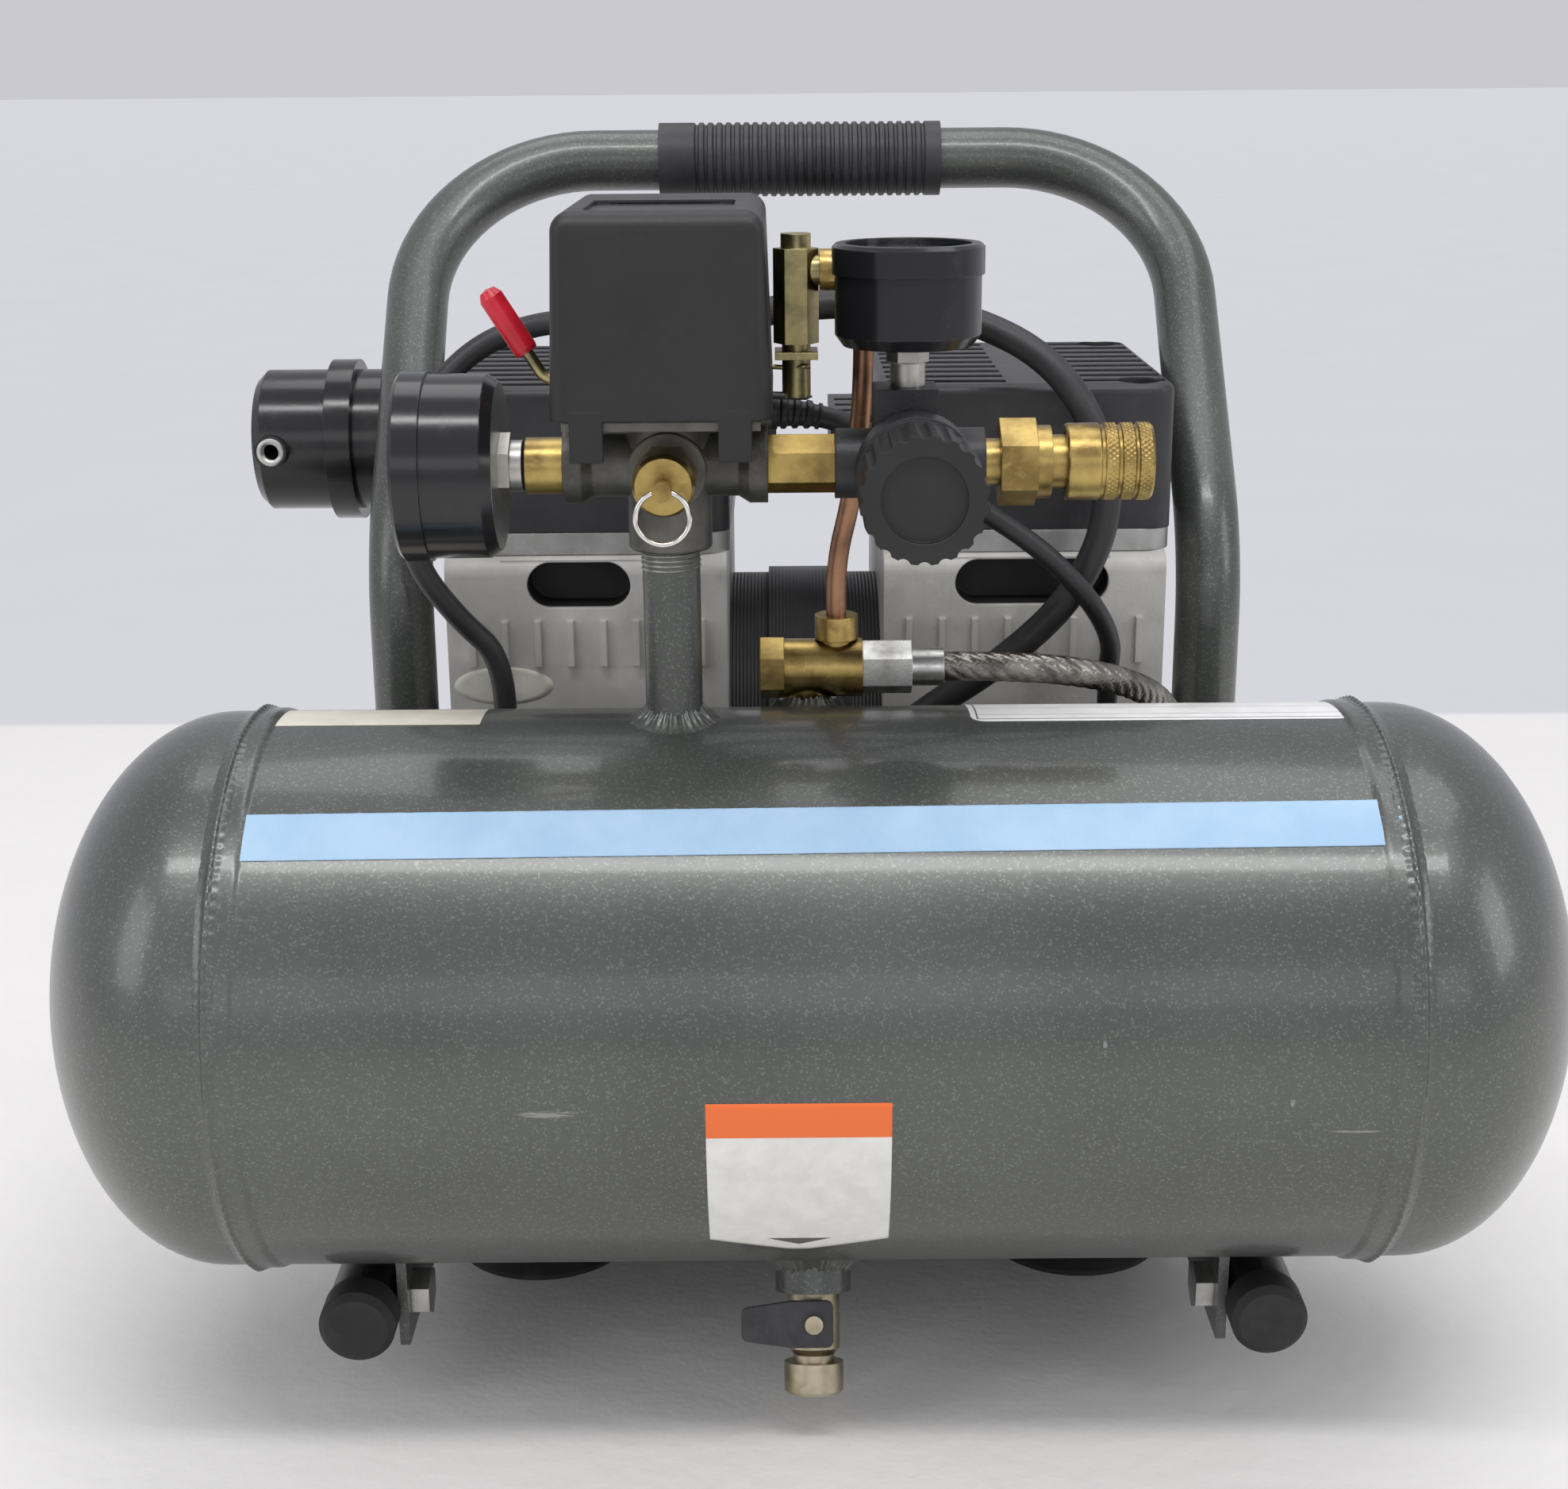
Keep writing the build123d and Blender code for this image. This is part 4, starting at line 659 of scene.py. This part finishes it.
vents = {"x": 0.0723, "z": 0.2208, "half": 0.0250, "tall": 0.0078, "from": 0.0132}
tankFinish = tankPaint()
finishes["hoopPaint"] = finishes["hammertone"]
special = {"tank_shell": tankFinish, "tank_heads": tankFinish, "stator": laminationSteel(),
           "gauge_cases": gaugeCaseFinish(), "power_plug": plugFinish(), "gauge_windows": clearWindow(),
           "line_nuts": nutFinish()}
wearing = {
    "hammertone": ["tank_welds", "tank_fittings", "tank_brackets", "base_plate"],
    "hoopPaint": ["hoop_frame"],
    "gripRubber": ["handle_grip"],
    "rubber": ["frame_end_caps", "suction_feet", "pump_isolators", "check_disc"],
    "zincSteel": ["hex_bolts", "shaft_bearings", "crankshaft"],
    "darkSteel": ["rotor_core"],
    "rawAlu": ["cylinder_sleeves", "piston_left", "piston_right", "valve_plates", "discharge_fittings"],
    "coverPlastic": ["switch_cover", "cooling_fans", "cord_glands", "regulator_knob"],
    "blackCast": ["cylinder_head_left", "cylinder_head_right", "regulator_body"],
    "glossPlastic": ["intake_filter_body", "intake_filter_cap"],
    "gunmetal": ["switch_manifold", "switch_base"],
    "yellowZinc": ["switch_lever", "unloader_valve"],
    "redVinyl": ["lever_cap"],
    "brass": ["check_valve_body", "brass_unions", "coupler_body", "coupler_sleeve", "safety_valve_body",
              "safety_stem"],
    "nickelBrass": ["drain_valve_body"],
    "copper": ["copper_tube"],
    "chrome": ["safety_ring"],
    "dialWhite": ["gauge_dials"],
    "needleRed": ["needle_left", "needle_top"],
    "leverPlastic": ["drain_lever"],
    "cordBlack": ["power_cord", "cord_coil", "motor_lead", "pump_lead"],
    "braidSteel": ["braided_hose"],
}
for name, wearers in wearing.items():
    for wearer in wearers:
        special[wearer] = finishNamed(name)
special["motor_housing_left"] = special["motor_housing_right"] = housingFinish()
for name, node in nodes.items():
    node.material_slots[0].material = special[name]


def wear(piece, material, body="machine"):
    # give a new piece its finish and its body
    piece.data.materials.clear()
    piece.data.materials.append(finishNamed(material) if isinstance(material, str) else material)
    if "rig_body" not in piece:
        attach(piece, body)
    return piece


for piece in (powerCord, motorLead, pumpLead, mainsRelief, motorRelief, pumpRelief, plugRelief):
    wear(piece, "cordBlack")
wear(braidedHose, "braidSteel")
print("finishes made")

# pieces on the tank
tankLow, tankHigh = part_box("tank_shell")
tank = {"y": (tankLow.y + tankHigh.y) / 2, "z": (tankLow.z + tankHigh.z) / 2, "r": (tankHigh.z - tankLow.z) / 2,
        "end": tankHigh.x}


def stuckOn(name, x, low, high, thick=0.00018, lifted=0.0, rows=40):
    # a sheet on the tank: angle f runs from low(x) to high(x) up from the front, at radius R + thick outside
    # and R inside, and the two faces close round the edge; lifted raises the end furthest to the right
    v = np.linspace(0, 1, rows)
    share = (x - x.min()) / (x.max() - x.min())
    f = np.radians(low[:, None] + (high - low)[:, None] * v[None, :])
    curl = lifted * np.clip((share - 0.96) / 0.04, 0, 1)[:, None] ** 2
    pucker = 0.00006 * np.sin(x * 900)[:, None] * np.sin(v * 9 + x[:, None] * 300)
    outer = tank["r"] + thick + curl + pucker * (thick > 0.00016)
    inner = tank["r"] + 0.00002 + curl + 0 * v[None, :]
    sides = []
    for radius, angle in ((outer, f), (inner[:, ::-1], f[:, ::-1])):
        sides.append(np.stack([x[:, None] + 0 * angle, tank["y"] - radius * np.cos(angle),
                               tank["z"] + radius * np.sin(angle)], -1))
    return surface(name, np.concatenate(sides, 1), wrapColumns=True, capped=True)


tape = {"from": -0.1525, "to": 0.1560, "low": 46.0, "high": 56.4, "rise": 1.5, "tear": 1.3}
x = np.linspace(tape["from"], tape["to"], 420)
along = (x - x.min()) / (x.max() - x.min())
torn = tape["tear"] * np.clip((along - 0.988) / 0.012, 0, 1)
maskingTape = stuckOn("maskingTape", x, tape["low"] + tape["rise"] * along + torn * (1.5 + np.sin(x * 5200)),
                      tape["high"] + tape["rise"] * along - torn * (1.2 + np.cos(x * 4300)), 0.00022, 0.0006)


def tapePaint():
    # crepe: fine ripples across the tape, lighter blue on their crests
    material, flow = begin("crepePaper")
    crepe = flow.noise(1.0, 4.0, at=flow.stretched((1500, 260, 260)), rough=0.65)
    cloud = flow.noise(48.0, 5.0)
    colour = flow.mixed(cloud.above(0.3, 0.7), (0.33, 0.50, 0.68), (0.39, 0.56, 0.73))
    colour = flow.mixed(crepe.above(0.55, 0.8) * 0.3, colour, (0.48, 0.66, 0.86))
    values = {"Base Color": colour, "Roughness": 0.55 + 0.2 * crepe}
    close(flow, values, crepe, 0.00016, strength=0.8)
    return material


wear(maskingTape, tapePaint())

plate = {"half": 0.0243, "x": -0.0041, "top": -1.0, "side": -38.6, "tip": -44.3, "band": -8.3}
x = np.linspace(plate["x"] - plate["half"], plate["x"] + plate["half"], 90)
slope = 1 - np.abs(x - plate["x"]) / plate["half"]
point = np.clip(slope / 0.9, 0, 1)
drainLabel = stuckOn("drainLabel", x, plate["side"] + (plate["tip"] - plate["side"]) * point,
                     plate["top"] + 0 * x, 0.00014)


def labelPaint():
    # orange band over a pale body, a plain dark arrowhead at the point; faint creases all over
    def marks(flow, base):
        z = flow.axis("Z")
        across = flow.maths("ABSOLUTE", flow.axis("X") - plate["x"])
        bandZ = tank["z"] + tank["r"] * sin(radians(plate["band"]))
        sideZ = tank["z"] + tank["r"] * sin(radians(plate["side"]))
        band = z.above(bandZ - 0.0001, bandZ + 0.0001)
        under = sideZ + 0.0004 - z
        arrow = under.above(0, 0.0002) * (0.0092 - across - 2.6 * under).above(0, 0.0002)
        base = flow.mixed(band, base, (0.80, 0.155, 0.028))
        return flow.mixed(arrow * (1 - band) * 0.9, base, (0.02, 0.02, 0.02))

    return paperFinish("drainLabelPaper", (0.78, 0.775, 0.74), (0.68, 0.675, 0.635), 0.30, marks)


wear(drainLabel, labelPaint())


def rounded(x, low, high, corner):
    # pull both edges in near the ends of x, along quarter circles of radius corner (all in metres)
    inside = np.minimum(x - x.min(), x.max() - x)
    miss = np.clip(corner - inside, 0, corner)
    pull = np.degrees((corner - np.sqrt(np.maximum(corner**2 - miss**2, 0))) / tank["r"])
    return low + pull, high - pull


def dense(a, b, corner):
    # x positions, closer together round the corners
    edge = corner * (1 - np.cos(np.linspace(0, pi / 2, 10)))
    return np.concatenate([a + edge, np.linspace(a + corner, b - corner, 60)[1:-1], (b - edge)[::-1]])


x = dense(0.0455, 0.1522, 0.004)
dataPlate = stuckOn("dataPlate", x, *rounded(x, 86.0 + 0 * x, 119.0 + 0 * x, 0.004), 0.00014)
x = dense(-0.1514, -0.0925, 0.0004)
creamLabel = stuckOn("creamLabel", x, *rounded(x, 86.5 + 0 * x, 101.0 + 0 * x, 0.0004), 0.00014)


def ruled(flow, base):
    # a thin dark line a little inside the edge of the data plate, and rules across it
    across = flow.maths("ABSOLUTE", flow.axis("X") - 0.09885) - 0.05335
    y = flow.axis("Y")
    deep = flow.maths("ABSOLUTE", y + 0.0674) - 0.0182
    edge = flow.maths("MAXIMUM", across, deep)
    line = edge.above(-0.0021, -0.0019) * (1 - edge.above(-0.0016, -0.0014))
    rules = flow.maths("PINGPONG", y, 0.0042).above(0.0040, 0.0041) * (1 - edge.above(-0.0021, -0.0019))
    return flow.mixed((line + rules).above(0, 1) * 0.85, base, (0.03, 0.03, 0.035))


wear(dataPlate, paperFinish("dataPlateFoil", (0.80, 0.80, 0.79), (0.72, 0.72, 0.71), 0.24, ruled))
wear(creamLabel, paperFinish("creamPaper", (0.74, 0.70, 0.60), (0.66, 0.62, 0.52), 0.36))

welds = {"lip": 0.0018, "ripple": 0.10, "count": 150, "around": 720}


def seam(name, side, w):
    # height over the shell across the seam: a swage, the lip and the weld toe; ripples run round it
    s = np.linspace(-1, 1, 41)
    swage = 0.55 * step(s, -1.0, -0.62)
    lip = 0.45 * np.exp(-((s - 0.12) / 0.10) ** 2)
    shape = (swage * (1 - step(s, 0.05, 0.62)) + lip)[:, None]
    a = np.linspace(0, 2 * pi, w["around"], endpoint=False)[None, :]
    wander = (1 + w["ripple"] * np.sin(w["count"] * a + 3 * np.sin(5 * a)) + 0.10 * np.sin(11 * a)
              + 0.06 * np.sin(29 * a))
    height = w["lip"] * shape * np.where(s[:, None] > -0.2, wander, 1.0)
    x = side * (tank["end"] - 0.0035 + 0.0075 * s[:, None]) + 0 * a
    outer = tank["r"] - 0.0001 + height
    ring = [np.stack([x, tank["y"] - r * np.cos(a), tank["z"] + r * np.sin(a)], -1)
            for r in (outer, tank["r"] - 0.0006 + 0 * outer[::-1])]
    return surface(name, np.concatenate([ring[0], ring[1][::-1]]), wrapRows=True, wrapColumns=True)


def bead(name, x, ahead, tilt, pipe, spread, tall, seed):
    # weld round a pipe on the tank: at distance r from the pipe's axis the tank is sqrt(R^2 - (d + r sin a)^2)
    # high, and the weld stands over it by tall (1 - v)^1.4, with lumps round it
    u, w = np.array([1.0, 0, 0]), np.array([0, -sin(radians(tilt)), cos(radians(tilt))])
    v = np.cross(w, u)
    a = np.linspace(0, 2 * pi, 240, endpoint=False)[None, :]
    lumps = 1 + 0.10 * np.sin(34 * a + seed) + 0.12 * np.sin(7 * a + 2 * seed) + 0.08 * np.sin(15 * a)
    share = np.linspace(0, 1, 18)[:, None]
    r = pipe - 0.0002 + (spread - pipe) * share * (1 + 0.25 * (lumps - 1))
    away = ahead + r * np.sin(a)
    ground = np.sqrt(tank["r"] ** 2 - away**2)
    high = ground - 0.0003 + tall * (1 - share) ** 1.4 * lumps
    under = ground - 0.0012
    origin = np.array([x, tank["y"], tank["z"]])

    def at(r, away, h):
        return origin + (r * np.cos(a))[..., None] * u + away[..., None] * v + h[..., None] * w

    grid = np.concatenate([at(r, away, high), at(r, away, under)[::-1]])
    return surface(name, grid, wrapRows=True, wrapColumns=True)


seamLeft = seam("tankSeamLeft", -1, welds)
seamRight = seam("tankSeamRight", 1, welds)
riserWeld = bead("riserWeld", -0.038, 0.0, 0, 0.0080, 0.0138, 0.0042, 1.0)
checkWeld = bead("checkBossWeld", 0.0, 0.032, 0, 0.0093, 0.0130, 0.0030, 2.0)
drainWeld = bead("drainBossWeld", 0.0, 0.0, 158, 0.01085, 0.0155, 0.0034, 3.0)
for piece in (seamLeft, seamRight, riserWeld, checkWeld, drainWeld):
    wear(piece, tankFinish)
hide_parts("tank_welds")
print("tank dressed")

# pieces on the controls
air = {"y": tank["y"], "z": (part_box("coupler_body")[0].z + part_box("coupler_body")[1].z) / 2, "coupler": 0.048}
riserThread = {"from": 0.2462, "to": 0.2520, "pitch": 0.0014, "root": 0.00765, "tall": 0.0007}


def thread(name, c):
    # a pipe thread: radius = root + tall |triangle wave of (t / pitch - a / 2 pi)|
    t = np.linspace(c["from"], c["to"], 90)[:, None]
    a = np.linspace(0, 2 * pi, 72, endpoint=False)[None, :]
    turn = (t / c["pitch"] - a / (2 * pi)) % 1
    r = c["root"] + c["tall"] * (1 - np.abs(2 * turn - 1))
    r[0], r[-1] = c["root"], c["root"]
    grid = np.stack([-0.038 + r * np.cos(a), tank["y"] + r * np.sin(a), t + 0 * a], -1)
    inside = grid[[-1, 0]].copy()
    inside[..., 0] = -0.038 + 0.006 * np.cos(a)
    inside[..., 1] = tank["y"] + 0.006 * np.sin(a)
    return surface(name, np.concatenate([grid, inside]), wrapRows=True, wrapColumns=True)


wear(thread("riserPipeThread", riserThread), "zincSteel")

sleeve = {"outline": [(22, 7.9), (22, 10.0), (22.6, 10.5), (31.0, 10.5), (31.3, 10.0), (32.2, 10.0), (32.5, 10.5),
                      (35.6, 10.5), (35.9, 9.9), (36.8, 9.9), (37.1, 10.5), (40.2, 10.5), (40.5, 9.9), (41.3, 9.9),
                      (41.6, 10.6), (44.8, 10.6), (45.6, 9.9), (45.6, 9.0), (43.0, 7.9)],
          "bands": [(32.5, 35.6), (37.1, 40.2), (41.6, 44.8)], "teeth": 46, "lead": 1650.0, "tall": 0.00030}


def knurled(name, c):
    # turned along +X; on the bands the radius rises by tall |sin(n a / 2 + k t)| |sin(n a / 2 - k t)|
    t, r = [], []
    for (t0, r0), (t1, r1) in zip(c["outline"], c["outline"][1:] + c["outline"][:1]):
        n = max(1, int(np.hypot(t1 - t0, r1 - r0) / 0.22))
        t += list(np.linspace(t0, t1, n, endpoint=False))
        r += list(np.linspace(r0, r1, n, endpoint=False))
    t, r = np.array(t)[:, None] * mm, np.array(r)[:, None] * mm
    a = np.linspace(0, 2 * pi, 368, endpoint=False)[None, :]
    cut = np.abs(np.sin(c["teeth"] * a / 2 + c["lead"] * t) * np.sin(c["teeth"] * a / 2 - c["lead"] * t))
    band = sum(((t > lo * mm) & (t < hi * mm) & (r > 10.2 * mm)) for lo, hi in c["bands"])
    r = r + band * c["tall"] * (cut - 0.75)
    grid = np.stack([air["coupler"] + t + 0 * a, air["y"] + r * np.cos(a), air["z"] + r * np.sin(a)], -1)
    return surface(name, grid, wrapRows=True, wrapColumns=True)


knurledSleeve = wear(knurled("knurledSleeve", sleeve), "brass", "sleeve")
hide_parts("coupler_sleeve")

inletLiner = {"x": -0.183, "outline": [(-0.0003, 0.0028), (-0.0003, 0.0046), (0.0, 0.0050), (0.0, 0.0034),
                                       (0.010, 0.0034), (0.010, 0.0029)]}
capLow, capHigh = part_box("intake_filter_cap")
linerGrid = turned((inletLiner["x"], capLow.y + 0.0001, (capLow.z + capHigh.z) / 2), (0, 1, 0),
                   inletLiner["outline"], 48)
wear(surface("inletLiner", linerGrid, wrapRows=True, wrapColumns=True), "zincSteel")

pins = {"upper": ([(-12, -56, 298.5), (-3, -56.5, 298), (0.5, -58, 298.6), (0.2, -60.5, 299.0), (-3, -61, 298.8)],
                  0.0007),
        "lower": ([(-12, -57, 290.6), (-4, -57.5, 290.4), (1.5, -58, 290.2)], 0.0011)}
for name, (points, radius) in pins.items():
    line = np.array(points, float) * mm
    count = np.linspace(0, len(line) - 1, 40)
    path = np.stack([np.interp(count, np.arange(len(line)), line[:, k]) for k in range(3)], 1)
    for sweep in range(6):
        path[1:-1] = (path[:-2] + path[1:-1] + path[2:]) / 3
    taper = radius * (1 - 0.75 * step(np.linspace(0, 1, 40), 0.82, 1.0))
    wear(surface("clipPin" + name.capitalize(), alongPath(path, taper, 14), wrapColumns=True, capped=True),
         "darkSteel" if name == "lower" else "yellowZinc")


barSides = ((0, 2, 3, 1), (4, 5, 7, 6), (0, 1, 5, 4), (2, 6, 7, 3), (0, 4, 6, 2), (1, 3, 7, 5))


def dial(name, centre, right, up, radius, body="machine"):
    # nine numbered marks over 270 degrees with four fine ones between, as thin raised bars in one mesh
    right, up = np.array(right, float), np.array(up, float)
    out = np.cross(right, up)
    points, faces = [], []
    for k in range(41):
        angle = radians(225 - 270 * k / 40)
        major = k % 5 == 0
        inner, width = (0.76, 0.0005) if major else (0.85, 0.00022)
        d = np.array([cos(angle), sin(angle)])
        n = np.array([-d[1], d[0]])
        corners = [d * radius * q + n * width * s for q in (inner, 0.95) for s in (-0.5, 0.5)]
        first = len(points)
        for h in (0.00001, 0.00007):
            points += [centre + c[0] * right + c[1] * up + h * out for c in corners]
        faces += [[first + i for i in side] for side in barSides]
        if major:
            text = bpy.data.curves.new("figure", "FONT")
            text.body = str(int(k / 5 * 2))
            text.size = radius * 0.27
            text.align_x, text.align_y = "CENTER", "CENTER"
            text.extrude = 0.00003
            probe = bpy.data.objects.new("figure", text)
            scene.collection.objects.link(probe)
            mesh = bpy.data.meshes.new_from_object(probe)
            co = np.zeros(len(mesh.vertices) * 3)
            mesh.vertices.foreach_get("co", co)
            co = co.reshape(-1, 3)
            spot = d * radius * 0.58
            first = len(points)
            points += list(centre + (co[:, :1] + spot[0]) * right + (co[:, 1:2] + spot[1]) * up
                           + (co[:, 2:] + 0.00004) * out)
            faces += [[first + i for i in p.vertices] for p in mesh.polygons]
            bpy.data.objects.remove(probe)
    return wear(objectFrom(name, np.array(points), faces, smooth=False), "dialBlack", body)


dialLow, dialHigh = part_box("gauge_dials")
dial("leftDialPrint", np.array([dialLow.x, air["y"], air["z"]]), (0, -1, 0), (0, 0, 1), 0.0222)
dial("topDialPrint", np.array([0.027, air["y"], dialHigh.z]), (1, 0, 0), (0, 1, 0), 0.0172)


def oval(name, centre, half, normalStep, rows=6, around=64):
    # a flat oval sheet: rings of points out to the edge, then down over its thin side
    a = np.linspace(0, 2 * pi, around, endpoint=False)[None, :]
    q = np.concatenate([np.linspace(0.05, 1, rows), [1.0]])[:, None]
    y = np.concatenate([np.full(rows, -normalStep), [0.0]])[:, None] + 0 * a
    grid = np.stack([centre[0] + half[0] * q * np.cos(a), centre[1] + y, centre[2] + half[1] * q * np.sin(a)], -1)
    return surface(name, grid, wrapColumns=True, capped=True)


wear(oval("ovalSticker", (-0.0975, 0.0120, 0.1880), (0.0160, 0.0062), 0.00015),
     paperFinish("stickerPaper", (0.70, 0.69, 0.62), (0.60, 0.58, 0.50), 0.4))


def coverSheet(name, low, high, corner, thick):
    # a thin rounded sheet lying on the cover: the edge is a superellipse of high power
    a = np.linspace(0, 2 * pi, 96, endpoint=False)[None, :]
    reach = (np.abs(np.cos(a)) ** corner + np.abs(np.sin(a)) ** corner) ** (-1 / corner)
    q = np.array([0.05, 0.5, 0.9, 1.0, 1.0])[:, None]
    z = low[2] + np.array([thick, thick, thick, thick * 0.8, 0])[:, None] + 0 * a
    cx, cy = (low[0] + high[0]) / 2, (low[1] + high[1]) / 2
    hx, hy = (high[0] - low[0]) / 2, (high[1] - low[1]) / 2
    grid = np.stack([cx + hx * q * reach * np.cos(a), cy + hy * q * reach * np.sin(a), z], -1)
    return surface(name, grid, wrapColumns=True, capped=True)


coverLow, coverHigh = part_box("switch_cover")
wear(coverSheet("coverLabel", (-0.0600, -0.0700, coverHigh.z - 0.0010), (-0.0160, -0.0405, 0), 24, 0.0003),
     paperFinish("coverLabelPaper", (0.62, 0.60, 0.54), (0.50, 0.47, 0.40), 0.35))
print("controls dressed")

# room
room = {"reach": 30.0, "turnsAt": 0.626, "lines": 7}


def groundSheet(r):
    # one flat sheet: x and y both run from -reach to reach, z is 0
    run = np.linspace(-r["reach"], r["reach"], r["lines"])
    x, y = np.meshgrid(run, run, indexing="ij")
    return objectFrom("groundSheet", np.stack([x, y, 0 * x], -1), gridFaces(r["lines"], r["lines"]))


def roomPaint():
    # pale pebbled board with a few specks; further back the sheet is a plain cool white
    material, flow = begin("roomPaint")
    y = flow.axis("Y")
    far = y.above(room["turnsAt"] - 0.004, room["turnsAt"] + 0.006)
    pebble = flow.noise(95.0, 3.0)
    blotch = flow.noise(7.0, 3.0)
    ground = flow.mixed(blotch, (0.80, 0.785, 0.76), (0.86, 0.845, 0.825))
    speck = flow.noise(38.0, 2.0).above(0.775, 0.80) * (1 - far)
    ground = flow.mixed(speck * 0.6, ground, (0.16, 0.14, 0.12))
    colour = flow.mixed(far, ground, (0.04, 0.04, 0.045))
    values = {"Base Color": colour, "Roughness": 0.6 + 0.2 * blotch, "Emission Strength": 1.0,
              "Emission Color": flow.mixed(far, (0.0, 0.0, 0.0), (0.585, 0.585, 0.625))}
    close(flow, values, pebble * (1 - far), 0.0012, strength=0.5)
    return material


floor = groundSheet(room)
floor.data.materials.append(roomPaint())

lights = {
    "overhead": {"at": (-0.05, -0.62, 1.50), "aim": (0, -0.05, 0.12), "size": (1.5, 0.16), "power": 10.0},
    "leftFill": {"at": (-1.5, -0.9, 0.95), "aim": (0, -0.05, 0.15), "size": (0.7, 1.0), "power": 4.5},
    "rightFill": {"at": (1.6, -0.7, 0.9), "aim": (0, -0.05, 0.15), "size": (0.6, 0.9), "power": 4.5},
    "backFill": {"at": (0.2, 0.45, 1.9), "aim": (0, 0.1, 0.1), "size": (2.0, 0.8), "power": 10.0},
    "frontFill": {"at": (0.1, -2.0, 0.75), "aim": (0, 0.2, 0.05), "size": (2.2, 0.5), "power": 3.0},
}
for name, l in lights.items():
    lamp = bpy.data.lights.new(name, "AREA")
    lamp.shape = "RECTANGLE"
    lamp.size, lamp.size_y = l["size"]
    lamp.energy = l["power"]
    lampObject = bpy.data.objects.new(name, lamp)
    scene.collection.objects.link(lampObject)
    lampObject.location = l["at"]
    lampObject.rotation_mode = "QUATERNION"
    lampObject.rotation_quaternion = (Vector(l["aim"]) - Vector(l["at"])).to_track_quat("-Z", "Y")
world = bpy.data.worlds.new("softRoom")
scene.world = world
world.use_nodes = True
world.node_tree.nodes["Background"].inputs["Color"].default_value = (0.80, 0.80, 0.855, 1)
world.node_tree.nodes["Background"].inputs["Strength"].default_value = 0.73
print("room lit")
